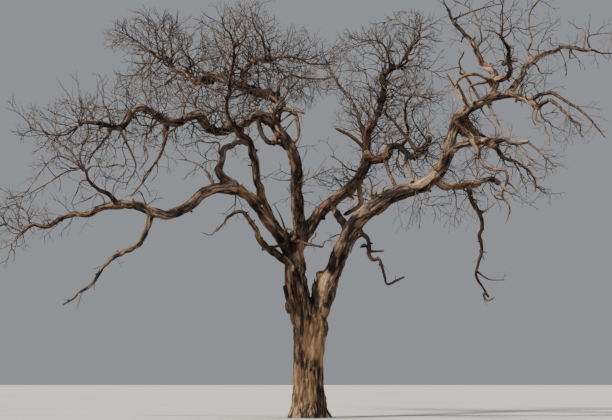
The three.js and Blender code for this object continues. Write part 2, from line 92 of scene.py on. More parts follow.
def smoothRoute(bends, spacing, parts=14):
    # a centripetal spline through the bends, then even steps along it
    ends = [bends[0] * 2 - bends[1], *bends, bends[-1] * 2 - bends[-2]]
    fine = []
    for a, b, c, d in zip(ends, ends[1:], ends[2:], ends[3:]):
        ab, bc, cd = ((q - p).length ** 0.5 for p, q in ((a, b), (b, c), (c, d)))
        out = ((b - a) / ab - (c - a) / (ab + bc) + (c - b) / bc) * bc
        into = ((c - b) / bc - (d - b) / (bc + cd) + (d - c) / cd) * bc
        for i in range(parts):
            t = i / parts
            fine.append(b * (2 * t**3 - 3 * t**2 + 1) + out * (t**3 - 2 * t**2 + t)
                        + c * (3 * t**2 - 2 * t**3) + into * (t**3 - t**2))
    fine = np.array([*fine, bends[-1]])
    along = np.concatenate([[0], np.cumsum(np.linalg.norm(np.diff(fine, axis=0), axis=1))])
    at = np.linspace(0, along[-1], max(3, int(along[-1] / spacing) + 1))
    return np.stack([np.interp(at, along, fine[:, i]) for i in range(3)], 1), at


def lumpsAt(points, sizes, shift=(0, 0, 0)):
    # soft noise at each point, in layers of (how fine, how strong)
    return np.array([sum(strong * noise.noise(Vector(p) * fine + Vector(shift))
                         for fine, strong in sizes) for p in points])


# The main limbs, near the source's own sizes in millimetres: what each one leaves, its thickness
# at both ends, and its bends as (across, up, behind).
tree = {
  "spacing": 0.05, "sides": 28,
  "collar": (0.3, 1.3),  # how much a limb widens at its start, and over how many thicknesses
  "fromEnd": 0.4,  # a limb leaves its parent at least this many thicknesses before its end
  "knobs": 0.12, "knobSizes": [(2.3, 1), (6, 0.8)],
  "crook": 0.055, "crookSizes": [(1.9, 1), (4.6, 0.45)], "crookShift": 7, "crookEase": 0.1,
  "limbs": {
    "leftStem": ("trunk", 640, 620, [(-40, 2400, 0), (-230, 3150, 0), (-330, 3900, 0),
     (-420, 4650, 0), (-400, 5300, 0)]),
    "rightStem": ("trunk", 560, 430, [(120, 2400, 0), (350, 3150, 0), (600, 3900, -70),
     (810, 4530, -200), (1110, 5280, -350), (1500, 5910, -550), (2100, 6420, -800)]),
    "leftArm": ("leftStem", 400, 330, [(-420, 4800, 0), (-700, 5220, -150), (-1000, 5620, -300),
     (-1360, 6120, -500), (-1740, 6570, -800), (-2310, 6990, -1100)]),
    "centreBough": ("leftStem", 400, 330, [(-350, 5060, 0), (-210, 5640, 150), (-300, 6180, 350),
     (-360, 6900, 550), (-370, 7700, 700), (-660, 8340, 900), (-930, 8670, 1100),
     (-1140, 8910, 1200)]),
    "frontBough": ("leftStem", 250, 110, [(-390, 5150, 0), (-260, 5700, -800), (-290, 6300, -1700),
     (-350, 7000, -2500), (-370, 7650, -3200), (-580, 8250, -3800), (-860, 8680, -4200)]),
    "midRight": ("leftStem", 400, 320, [(-330, 5000, 50), (90, 5760, 400), (390, 6135, 700),
     (810, 6510, 1200), (1230, 6825, 1600), (1560, 7200, 2000), (1770, 7650, 2300),
     (1890, 7860, 2400)]),
    "longLeft": ("leftArm", 340, 240, [(-2310, 6990, -1100), (-2700, 6870, -1200),
     (-3240, 6630, -1400), (-3660, 6300, -1600), (-4140, 6060, -1800), (-4620, 6120, -1900),
     (-5160, 6330, -1900), (-5670, 6435, -1800)]),
    "longLeftOuter": ("longLeft", 240, 105, [(-5670, 6435, -1800), (-6210, 6285, -1600),
     (-6570, 6075, -1400), (-7110, 6075, -1200), (-7530, 5895, -1000), (-7890, 5685, -800),
     (-8280, 5745, -700), (-8610, 5505, -600)]),
    "longLeftDrop": ("longLeft", 190, 60, [(-4770, 6150, -1900), (-4845, 5610, -2000),
     (-5040, 5220, -2200), (-5490, 4950, -2500), (-5880, 4740, -2700), (-6210, 4350, -2900),
     (-6630, 3900, -3000), (-7380, 3360, -3200)]),
    "leftLoop": ("leftArm", 240, 140, [(-2250, 7000, -1080), (-2640, 7300, -1150),
     (-2610, 7680, -900), (-2490, 8010, -700), (-2220, 8190, -300), (-1890, 8250, 200)]),
    "droopLeft": ("leftStem", 260, 60, [(-400, 4560, -80), (-1080, 4980, -400), (-1440, 5340, -700),
     (-1710, 5880, -1000), (-2040, 6150, -1300), (-2430, 5970, -1600), (-2790, 5610, -1800)]),
    "leftCentre": ("leftArm", 300, 200, [(-650, 5180, -100), (-1050, 5850, -200),
     (-1380, 6540, -500), (-1480, 6960, -800), (-1570, 7410, -1050), (-1620, 7830, -1300),
     (-1760, 8220, -1500), (-2060, 8480, -1700), (-2340, 8790, -1900)]),
    "leftCentreTop": ("leftCentre", 145, 65, [(-2340, 8790, -1900), (-2450, 9150, -2100),
     (-2400, 9630, -2300), (-2320, 10290, -2700), (-2220, 10770, -3000), (-2200, 11160, -3200)]),
    "highLeft": ("centreBough", 330, 285, [(-1140, 8910, 1200), (-960, 9150, 1300),
     (-830, 9370, 1380), (-960, 9570, 1450), (-1260, 9675, 1500), (-1650, 9810, 1600),
     (-2400, 10065, 1500), (-3030, 10230, 1700)]),
    "highLeftOuter": ("highLeft", 270, 115, [(-3030, 10230, 1700), (-3230, 10050, 1850),
     (-3450, 10110, 2000), (-3660, 10320, 2150), (-4080, 10470, 2400), (-4200, 10710, 2600),
     (-4440, 10830, 2800), (-4770, 10950, 3000)]),
    "midLeft": ("centreBough", 290, 250, [(-1100, 8880, 1180), (-1470, 9060, 850),
     (-1830, 8850, 400), (-2220, 8655, 0), (-2610, 8580, -400), (-2970, 8685, -800),
     (-3210, 8940, -1100), (-3360, 9150, -1300)]),
    "midLeftOuter": ("midLeft", 245, 200, [(-3360, 9150, -1300), (-3660, 8970, -1600),
     (-4020, 8805, -2000), (-4320, 8880, -2300), (-4590, 9105, -2600), (-4950, 9285, -2900),
     (-5250, 9180, -3100), (-5460, 8940, -3250)]),
    "midLeftTip": ("midLeftOuter", 195, 90, [(-5460, 8940, -3250), (-5610, 8710, -3350),
     (-5880, 8685, -3500), (-6240, 8820, -3800), (-6660, 8865, -4100), (-6930, 8700, -4300)]),
    "archBough": ("highLeft", 240, 140, [(-1950, 9900, 1580), (-1920, 10260, 1450),
     (-1770, 10530, 1250), (-1500, 10725, 1000), (-1170, 10680, 750), (-960, 10740, 600)]),
    "midRightUp": ("midRight", 250, 180, [(1890, 7860, 2400), (1740, 8160, 2500),
     (1800, 8490, 2600), (1980, 8865, 2800), (2175, 9330, 3000), (2265, 9750, 3100),
     (2295, 10170, 3200), (2460, 10410, 3200), (2760, 10500, 3200)]),
    "backBough": ("midRight", 250, 120, [(500, 6230, 820), (860, 6560, 1700), (1250, 6840, 2400),
     (1530, 7200, 3100), (1760, 7700, 3700), (1850, 8350, 4200), (1980, 8950, 4500)]),
    "elbow": ("midRight", 260, 140, [(1860, 7800, 2380), (2160, 7710, 2150), (2400, 7830, 1850),
     (2500, 8080, 1600), (2670, 8150, 1350), (2880, 7980, 1000), (3090, 7785, 700),
     (3360, 7920, 650), (3600, 8190, 800)]),
    "rightBough": ("rightStem", 440, 365, [(2100, 6450, -800), (2670, 6735, -1000),
     (3210, 6885, -1100), (3690, 7110, -1200), (4020, 7500, -1300), (4200, 8010, -1300)]),
    "rightUp": ("rightBough", 330, 270, [(4200, 8010, -1300), (4305, 8430, -1200),
     (4410, 8760, -1100), (4590, 9060, -1000), (4860, 9270, -900), (5190, 9420, -800),
     (5550, 9630, -700)]),
    "rightArm": ("rightUp", 240, 140, [(5550, 9630, -700), (6000, 9660, -1000), (6420, 9585, -1400),
     (6720, 9420, -1700), (6900, 9270, -1900)]),
    "spire": ("rightUp", 220, 100, [(5500, 9600, -700), (5610, 10000, -600), (5580, 10320, -450),
     (5340, 10480, -100), (5160, 10740, 200), (5040, 11025, 500), (4860, 11280, 800),
     (4620, 11595, 1100), (4350, 11880, 1400), (4200, 12240, 1600)]),
    "crook": ("spire", 180, 110, [(5610, 10080, -560), (5820, 10140, -800), (6015, 10250, -1100),
     (6060, 10470, -1400), (6030, 10710, -1700), (6000, 10980, -2000), (5760, 11490, -2400)]),
    "farRight": ("rightArm", 210, 120, [(5960, 9660, -980), (6210, 9960, -700), (6440, 10250, -250),
     (6540, 10560, 300), (6810, 10740, 800), (7140, 10890, 1200), (7470, 11025, 1500),
     (7950, 11085, 1900), (8460, 10980, 2300)]),
    "rightMid": ("rightBough", 240, 110, [(4020, 7560, -1300), (4350, 8010, -1700),
     (4710, 8205, -2100), (5160, 8295, -2500), (5610, 8265, -2900), (5910, 8340, -3100),
     (6180, 8205, -3300), (6600, 8250, -3600)]),
    "rightBack": ("rightUp", 250, 60, [(4590, 9060, -1000), (4830, 8760, -600), (5130, 8460, -200),
     (5640, 8080, 800), (5880, 7760, 1400), (6360, 7590, 2000), (6810, 7110, 2500),
     (6810, 6750, 2700)]),
    "hook": ("rightUp", 130, 105, [(4400, 8900, -1100), (4530, 8760, -1600), (4710, 8520, -2400),
     (4950, 8235, -3000), (5130, 7950, -3300), (5205, 7680, -3500), (5400, 7470, -3600),
     (5670, 7410, -3700)]),
    "hookDrop": ("hook", 100, 45, [(5670, 7410, -3700), (5910, 7370, -3800), (5985, 7140, -3850),
     (5850, 6840, -3850), (5805, 6630, -3800), (6000, 6360, -3800), (6030, 6120, -3800),
     (5895, 5820, -3800)]),
    "rightLow": ("rightBough", 225, 170, [(3780, 7170, -1220), (4020, 6950, -950),
     (4410, 6900, -500), (4830, 6975, 0), (5190, 7050, 400), (5490, 7155, 700), (5730, 7020, 900)]),
    "hanging": ("rightLow", 150, 70, [(4770, 6960, -50), (4905, 6480, 0), (5130, 6045, 100),
     (5250, 5730, 150), (5160, 5460, 200), (5220, 5070, 250), (5085, 4335, 250), (5220, 3900, 300),
     (5400, 3570, 300)]),
    "lowSnag": ("rightStem", 150, 60, [(1480, 5700, -500), (1800, 5280, -800), (1830, 4890, -1100),
     (1965, 4740, -1200), (2160, 4720, -1300), (2370, 4005, -1500), (2640, 4050, -1600),
     (2910, 4155, -1700)]),
  },
}

trunk = {
  "height": 3.06, "dome": 0.2, "sides": 72, "rings": 70,
  "crowding": 1.35,  # over 1 the rings lie closer together near the ground
  "lean": [(0, 0), (-0.01, 1.5), (0.03, 2.2), (0.08, 2.67), (0.09, 3.06)],
  "girth": [(0.53, 0), (0.485, 0.35), (0.452, 1.0), (0.45, 1.7), (0.48, 2.25), (0.54, 2.67),
            (0.61, 3.06)],
  "flatten": 0.78, "flutes": (3, 0.03, 1),  # how many, how deep and how far turned
  "shoulder": (0.42, 2.6, 0.46),  # how much the top draws in, from what height, over how much
  "roots": 5, "rootSwell": 0.19, "rootFade": 0.42, "rootTurn": 0.6,
  "below": -0.12,  # cut off again at the ground, once the bark has its relief
}

# What stands out round the fork and on the boughs: thickness at both ends and (across, up,
# behind) along the form, with the first two in sketch steps and the last in metres
forkForms = {
  "sides": 20, "lumps": 0.25, "lumpSizes": [(5, 1)],
  "forms": {
    "burl": (330, 220, [(-16, 105, -0.05), (-19, 111, -0.05), (-17, 117, -0.03)]),
    "burlStub": (140, 60, [(-17, 112, -0.04), (-22, 121, -0.06), (-25, 132, -0.06)]),
    "ledge": (330, 250, [(18, 110, -0.05), (14, 128, -0.06), (12, 146, -0.05)]),
    "slab": (130, 40, [(8, 108, -0.12), (7, 126, -0.12), (6, 142, -0.1)]),
    "thinSlab": (90, 25, [(3, 110, -0.1), (4, 124, -0.1), (4, 136, -0.08)]),
    "frontRidge": (150, 240, [(-7, 100, -0.2), (-8, 116, -0.25), (-8, 132, -0.29),
                              (-13, 146, -0.33), (-24, 157, -0.37), (-36, 166, -0.42)]),
    "charredStub": (280, 200, [(44, 181, -0.32), (36, 193, -0.34), (28, 204, -0.36),
                               (25, 210, -0.36)]),
    "brokenStub": (230, 170, [(-30, 282, 0.85), (-33, 277, 0.7), (-35, 272, 0.6)]),
    "paleStub": (350, 190, [(-45, 296, 1.1), (-39, 301, 1.0), (-32, 307, 0.85), (-26, 310, 0.75)]),
    "footSwelling": (300, 240, [(4, 48, -0.2), (5, 60, -0.22), (4, 74, -0.2)]),
    "boughBend": (410, 400, [(122, 236, -1.12), (128, 243, -1.15), (133, 253, -1.2)]),
    "boughWeb": (240, 330, [(150, 301, -0.98), (153, 291, -0.97), (158, 282, -1.0)]),
    "brokenEnd": (270, 190, [(168, 276, -2.45), (180, 275, -2.75), (190, 268, -2.95)]),
    "blackStub": (280, 190, [(104, 259, 0.66), (112, 264, 0.66), (119, 273, 0.76),
                             (122, 281, 0.8)]),
  },
}
stubs = {
  "every": 0.6, "out": (0.02, 0.12), "thick": (0.03, 0.07), "leaning": (0.1, 0.6),
  "sides": 10, "rings": 4, "tip": 0.75, "ofLimb": 0.6,  # at most this share of the limb's radius
  "without": ["trunk", "leftStem", "rightStem"],
}


def profile(pairs, at):
    for (low, start), (high, end) in zip(pairs, pairs[1:]):
        if at <= end:
            t = min(1, max(0, (at - start) / (end - start)))
            return low + (high - low) * t * t * (3 - 2 * t)
    return pairs[-1][0]


def formOf(points, radii, **more):
    # with a turning frame carried along the route without twist
    tangents = np.gradient(points, axis=0)
    tangents /= np.linalg.norm(tangents, axis=1)[:, None]
    side = np.cross(tangents[0], (0.3, 1, 0.1))
    sides = []
    for tangent in tangents:
        side = side - tangent * np.dot(side, tangent)
        side /= np.linalg.norm(side)
        sides.append(side)
    sides = np.array(sides)
    return {"points": points, "radii": radii, "tangents": tangents, "sides": sides,
            "ups": np.cross(tangents, sides), **more}


def crooks(points, along, thick):
    # small kinks and waves, none at the start
    waves = [lumpsAt(points, tree["crookSizes"], shift) for shift in np.eye(3) * tree["crookShift"]]
    ease = 1 - np.exp(-along / (thick + tree["crookEase"]))
    return np.stack(waves, 1) * (ease * tree["crook"])[:, None]


def makeLimb(name, parent, thick, bends):
    first, *others = [place(a / 1000, u / 1000, b / 1000) for a, u, b in bends]
    last = parent["along"][-1] - tree["fromEnd"] * thick[0] / 1000
    inside = parent["points"][parent["along"] <= max(last, 0.01)]
    start = inside[np.argmin(np.linalg.norm(inside - np.array(first), axis=1))]
    points, along = smoothRoute([Vector(start), *others], tree["spacing"])
    points = points + crooks(points, along, thick[0] / 1000)
    swell, reach = tree["collar"]
    radii = (thick[0] + (thick[1] - thick[0]) * (along / along[-1])) / 2000
    radii = radii * (1 + swell * np.exp(-along / (reach * thick[0] / 1000)))
    radii = radii * (1 + tree["knobs"] * lumpsAt(points, tree["knobSizes"]))
    return formOf(points, radii, name=name, along=along)


def makeLimbs():
    route = [Vector((x, 0, z)) for x, z in trunk["lean"]]
    points, along = smoothRoute(route, tree["spacing"])
    radii = np.array([profile(trunk["girth"], z) for z in points[:, 2]])
    made = {"trunk": formOf(points, radii, name="trunk", along=along)}
    for name, (parent, start, end, bends) in tree["limbs"].items():
        made[name] = makeLimb(name, made[parent], (start, end), bends)
    return made


def ringFaces(sides, rings):
    # the round of a tube, and the end that it starts from
    faces = [[r * sides + i, r * sides + (i + 1) % sides, (r + 1) * sides + (i + 1) % sides,
              (r + 1) * sides + i] for r in range(rings - 1) for i in range(sides)]
    return [*faces, list(range(sides))[::-1]]


def tubeShell(form, sides):
    # a closed tube with flat ends
    turn = np.linspace(0, 2 * math.pi, sides, endpoint=False)
    across = form["sides"][:, None] * np.cos(turn)[None, :, None]
    across = across + form["ups"][:, None] * np.sin(turn)[None, :, None]
    corners = form["points"][:, None] + across * form["radii"][:, None, None]
    rings = len(corners)
    faces = [*ringFaces(sides, rings), [(rings - 1) * sides + i for i in range(sides)]]
    return corners.reshape(-1, 3), faces


def trunkShell():
    sides, rings, top = trunk["sides"], trunk["rings"], trunk["height"]
    flutes, deep, twist = trunk["flutes"]
    drawn, start, over = trunk["shoulder"]
    corners = []
    for r in range(rings + 1):
        level = trunk["below"] + (top - trunk["below"]) * (r / rings) ** trunk["crowding"]
        depth = 1 + (trunk["flatten"] - 1) * r / rings
        foot = math.exp(-level / trunk["rootFade"]) * trunk["rootSwell"]
        for i in range(sides):
            turn = 2 * math.pi * i / sides
            lobe = 0.5 + 0.5 * math.cos(trunk["roots"] * turn + trunk["rootTurn"])
            flute = 1 + deep * math.cos(flutes * turn + twist)
            radius = profile(trunk["girth"], level) * flute + foot * lobe**2
            radius *= 1 - drawn * max(0, (level - start) / over) ** 2
            corners.append((profile(trunk["lean"], level) + radius * math.cos(turn),
                            radius * depth * math.sin(turn), level))
    corners.append((profile(trunk["lean"], top), 0, top + trunk["dome"]))
    rim = rings * sides
    dome = [[rim + i, rim + (i + 1) % sides, len(corners) - 1] for i in range(sides)]
    return np.array(corners), ringFaces(sides, rings + 1) + dome


def forkShells():
    shells = []
    for start, end, bends in forkForms["forms"].values():
        route = [place(a * seen["step"], u * seen["step"], b) for a, u, b in bends]
        points, along = smoothRoute(route, tree["spacing"])
        radii = (start + (end - start) * along / along[-1]) / 2000
        radii = radii * (1 + forkForms["lumps"] * lumpsAt(points, forkForms["lumpSizes"]))
        shells.append(tubeShell(formOf(points, radii), forkForms["sides"]))
    return shells


def stubShells(limb, rng):
    # knots, and stubs where branches have broken off, none on the first fifth of a limb
    shells = []
    for _ in range(int(limb["along"][-1] / stubs["every"])):
        at = rng.randrange(len(limb["points"]) // 5, len(limb["points"]) - 1)
        radius, turn = limb["radii"][at], rng.uniform(0, 2 * math.pi)
        way = limb["sides"][at] * math.cos(turn) + limb["ups"][at] * math.sin(turn)
        way = way + limb["tangents"][at] * rng.uniform(*stubs["leaning"])
        reach = way * (radius + rng.uniform(*stubs["out"]))
        points = limb["points"][at] + reach * np.linspace(0, 1, stubs["rings"])[:, None]
        thick = min(rng.uniform(*stubs["thick"]), stubs["ofLimb"] * radius)
        form = formOf(points, thick * np.linspace(1, stubs["tip"], stubs["rings"]))
        shells.append(tubeShell(form, stubs["sides"]))
    return shells


def cutAtGround(made):
    work = bmesh.new()
    work.from_mesh(made.data)
    parts = work.verts[:] + work.edges[:] + work.faces[:]
    cut = bmesh.ops.bisect_plane(work, geom=parts, plane_co=(0, 0, 0), plane_no=(0, 0, 1),
                                 clear_inner=True)["geom_cut"]
    rim = [part for part in cut if isinstance(part, bmesh.types.BMEdge)]
    bmesh.ops.triangle_fill(work, edges=rim, use_beauty=True, normal=(0, 0, -1))
    work.to_mesh(made.data)
    work.free()


def meshObject(name, corners, faces=(), edges=()):
    mesh = bpy.data.meshes.new(name)
    mesh.from_pydata([tuple(c) for c in corners], edges, faces)
    made = bpy.data.objects.new(name, mesh)
    bpy.context.scene.collection.objects.link(made)
    return made


def plain(made, name):
    # the evaluated object as a plain mesh, without its modifiers
    bpy.context.view_layer.update()
    shown = made.evaluated_get(bpy.context.evaluated_depsgraph_get())
    mesh = bpy.data.meshes.new_from_object(shown, preserve_all_data_layers=True,
                                           depsgraph=bpy.context.evaluated_depsgraph_get())
    bpy.data.objects.remove(made)
    mesh.name = name
    done = bpy.data.objects.new(name, mesh)
    bpy.context.scene.collection.objects.link(done)
    return done


def dropLayers(made, labels):
    for label in [layer.name for layer in made.data.attributes if layer.name in labels]:
        made.data.attributes.remove(made.data.attributes[label])


def triangles(made):
    made.data.calc_loop_triangles()
    return len(made.data.loop_triangles)


# Node trees, for geometry and for materials, are put together with these.
def addNode(nodes, kind, links=None, **settings):
    made = nodes.new(kind)
    for key, value in settings.items():
        setattr(made, key, value)
    for key, value in (links or {}).items():
        socket = made.inputs[key]
        if isinstance(value, bpy.types.NodeSocket):
            made.id_data.links.new(value, socket)
        else:
            socket.default_value = value
    return made


def openGroup(name, sockets):
    group = bpy.data.node_groups.new(name, "GeometryNodeTree")
    group.interface.new_socket("Geometry", in_out="INPUT", socket_type="NodeSocketGeometry")
    group.interface.new_socket("Geometry", in_out="OUTPUT", socket_type="NodeSocketGeometry")
    for label, kind, value in sockets:
        socket = group.interface.new_socket(label, in_out="INPUT", socket_type="NodeSocket" + kind)
        if value is not None:
            socket.default_value = value
    return group, group.nodes.new("NodeGroupInput"), group.nodes.new("NodeGroupOutput")


def useGroup(made, group, values):
    modifier = made.modifiers.new(group.name, "NODES")
    modifier.node_group = group
    for socket in group.interface.items_tree:
        if socket.in_out == "INPUT" and socket.name in values:
            modifier[socket.identifier] = values[socket.name]


def mathNode(nodes, work, a, b=0.0, **settings):
    return addNode(nodes, "ShaderNodeMath", {0: a, 1: b}, operation=work, **settings).outputs[0]


def vectorNode(nodes, work, inputs):
    return addNode(nodes, "ShaderNodeVectorMath", inputs, operation=work).outputs[0]


def noiseNode(nodes, size, detail, roughness=0.5, where=None, output="Fac"):
    inputs = {"Scale": size, "Detail": detail, "Roughness": roughness}
    if where is not None:
        inputs["Vector"] = where
    return addNode(nodes, "ShaderNodeTexNoise", inputs).outputs[output]


def mapRange(nodes, value, low, high, to=(0.0, 1.0), kind="LINEAR"):
    return addNode(nodes, "ShaderNodeMapRange",
                   {"Value": value, "From Min": low, "From Max": high, "To Min": to[0],
                    "To Max": to[1]}, interpolation_type=kind).outputs[0]


def named(nodes, label, kind="FLOAT"):
    return addNode(nodes, "GeometryNodeInputNamedAttribute", {"Name": label},
                   data_type=kind).outputs[0]


def store(nodes, geometry, label, value, kind="FLOAT"):
    return addNode(nodes, "GeometryNodeStoreNamedAttribute",
                   {"Geometry": geometry, "Name": label, "Value": value}, data_type=kind).outputs[0]


def raised(nodes, geometry, height):
    # moved out along the normal, and made real
    normal = nodes.new("GeometryNodeInputNormal").outputs[0]
    offset = vectorNode(nodes, "SCALE", {0: normal, "Scale": height})
    moved = addNode(nodes, "GeometryNodeSetPosition", {"Geometry": geometry, "Offset": offset})
    return addNode(nodes, "GeometryNodeRealizeInstances", {"Geometry": moved.outputs[0]}).outputs[0]


# Bark relief: ridges run along the limb with furrows between them, broken into plates. These
# are the group's inputs.
barkRelief = {
  "Ridge Width": 0.095, "Stretch": 5.5, "Furrow Depth": 0.052, "Lump Height": 0.035,
  "Full Girth": 0.34,  # the radius from which the bark is at its roughest
  "Patch Size": 0.55,
}
barkPattern = {
  "wobbleSize": 6.0, "wobble": 0.12, "lumpSize": 4.5, "patchStretch": 0.42,
  "plateSize": 0.8, "plateEdge": 0.3, "plateShare": 0.38,
  "waveSize": 0.55, "waveSpan": (0.3, 0.7), "waveShare": 0.62,
  "level": 0.6,  # the height that stays where the limb's surface is
  "smoothest": 0.16,  # what is left of the relief on the thinnest twigs
  "limbShift": (1.3, 3.7),  # metres across and along from one limb's bark to the next one's
  "blend": 0.55,  # share of a limb's radius over which its bark gives way to the next one's
  "outOfReach": 9.0, "atATime": 6000,
}


def patternAt(nodes, given, where):
    # the bark's height, 0 in a furrow and 1 on a ridge, and its patches, at a place on the limb
    def stretched(by):
        spread = addNode(nodes, "ShaderNodeCombineXYZ", {0: 1.0, 1: 1.0, 2: by})
        return vectorNode(nodes, "MULTIPLY", {0: where, 1: spread.outputs[0]})

    flat = stretched(mathNode(nodes, "DIVIDE", 1.0, given["Stretch"]))
    wobble = noiseNode(nodes, barkPattern["wobbleSize"], 2.0, where=flat, output="Color")
    wobble = vectorNode(nodes, "SCALE", {0: wobble, "Scale": barkPattern["wobble"]})
    bent = vectorNode(nodes, "ADD", {0: flat, 1: wobble})
    size = mathNode(nodes, "DIVIDE", 1.0, given["Ridge Width"])
    cells = addNode(nodes, "ShaderNodeTexVoronoi",
                    {"Vector": bent,
                     "Scale": mathNode(nodes, "MULTIPLY", size, barkPattern["plateSize"])},
                    feature="DISTANCE_TO_EDGE")
    plate = mapRange(nodes, cells.outputs["Distance"], 0.0, barkPattern["plateEdge"],
                     kind="SMOOTHSTEP")
    waveSize = mathNode(nodes, "MULTIPLY", size, barkPattern["waveSize"])
    wave = noiseNode(nodes, waveSize, 4.0, 0.6, bent)
    wave = mapRange(nodes, wave, *barkPattern["waveSpan"], kind="SMOOTHSTEP")
    height = mathNode(nodes, "ADD", mathNode(nodes, "MULTIPLY", plate, barkPattern["plateShare"]),
                      mathNode(nodes, "MULTIPLY", wave, barkPattern["waveShare"]))
    patchSize = mathNode(nodes, "DIVIDE", 1.0, given["Patch Size"])
    return height, noiseNode(nodes, patchSize, 4.0, 0.66, stretched(barkPattern["patchStretch"]))


def barkGroup():
    labels = [(k, "Float", v) for k, v in barkRelief.items()] + [("Material", "Material", None)]
    group, start, end = openGroup("barkRelief", labels)
    nodes, given = group.nodes, start.outputs
    own = patternAt(nodes, given, named(nodes, "barkAt", "FLOAT_VECTOR"))
    other = patternAt(nodes, given, named(nodes, "barkNext", "FLOAT_VECTOR"))
    relief, patch = (addNode(nodes, "ShaderNodeMix", {0: named(nodes, "ownShare"), 2: b, 3: a},
                             data_type="FLOAT").outputs[0] for a, b in zip(own, other))
    girth = mathNode(nodes, "DIVIDE", named(nodes, "girth"), given["Full Girth"])
    rough = mapRange(nodes, girth, 0.0, 1.0, (barkPattern["smoothest"], 1.0))
    lumps = noiseNode(nodes, barkPattern["lumpSize"], 2.0)
    lumps = mathNode(nodes, "MULTIPLY", mathNode(nodes, "SUBTRACT", lumps, 0.5), 2.0)
    lumps = mathNode(nodes, "MULTIPLY", lumps, given["Lump Height"])
    height = mathNode(nodes, "MULTIPLY",
                      mathNode(nodes, "SUBTRACT", relief, barkPattern["level"]),
                      given["Furrow Depth"])
    height = mathNode(nodes, "MULTIPLY", mathNode(nodes, "ADD", height, lumps), rough)
    made = store(nodes, given["Geometry"], "relief", relief)
    made = raised(nodes, store(nodes, made, "patch", patch), height)
    dressed = addNode(nodes, "GeometryNodeSetMaterial",
                      {"Geometry": made, "Material": given["Material"]})
    group.links.new(dressed.outputs[0], end.inputs[0])
    return group


def barkPlaces(made, limbs):
    # each corner's place on the axes of its own limb and of the next nearest one
    corners = np.empty(len(made.data.vertices) * 3)
    made.data.vertices.foreach_get("co", corners)
    corners = corners.reshape(-1, 3)
    field = {}
    for key in ("points", "tangents", "sides", "ups", "radii", "along"):
        field[key] = np.concatenate([limb[key] for limb in limbs])
    owner = np.concatenate([np.full(len(limb["along"]), i) for i, limb in enumerate(limbs)])
    rows = {"barkAt": [], "barkNext": [], "ownShare": [], "girth": []}
    squares = (field["points"] ** 2).sum(1)
    shiftAcross, shiftAlong = barkPattern["limbShift"]

    def local(part, nearest):
        offset = part - field["points"][nearest]
        values = [(offset * field[key][nearest]).sum(1) for key in ("sides", "ups", "tangents")]
        values[2] = values[2] + field["along"][nearest] + owner[nearest] * shiftAlong
        values[0] = values[0] + owner[nearest] * shiftAcross
        return np.stack(values, 1)

    for start in range(0, len(corners), barkPattern["atATime"]):
        part = corners[start:start + barkPattern["atATime"]]
        gap = (part**2).sum(1)[:, None] + squares - 2 * part @ field["points"].T
        gap = np.sqrt(np.maximum(0, gap)) - field["radii"]
        best = gap.argmin(1)
        low = gap[np.arange(len(part)), best]
        gap[owner[best][:, None] == owner[None, :]] = barkPattern["outOfReach"]
        second = gap.argmin(1)
        far = gap[np.arange(len(part)), second] - low
        blend = barkPattern["blend"] * field["radii"][best]
        rows["barkAt"].append(local(part, best))
        rows["barkNext"].append(local(part, second))
        rows["ownShare"].append(0.5 + 0.5 * np.clip(far / blend, 0, 1))
        rows["girth"].append(field["radii"][best])
    for label, values in rows.items():
        values = np.concatenate(values)
        kind = "FLOAT_VECTOR" if values.ndim == 2 else "FLOAT"
        layer = made.data.attributes.new(label, kind, "POINT")
        layer.data.foreach_set("vector" if kind == "FLOAT_VECTOR" else "value", values.ravel())


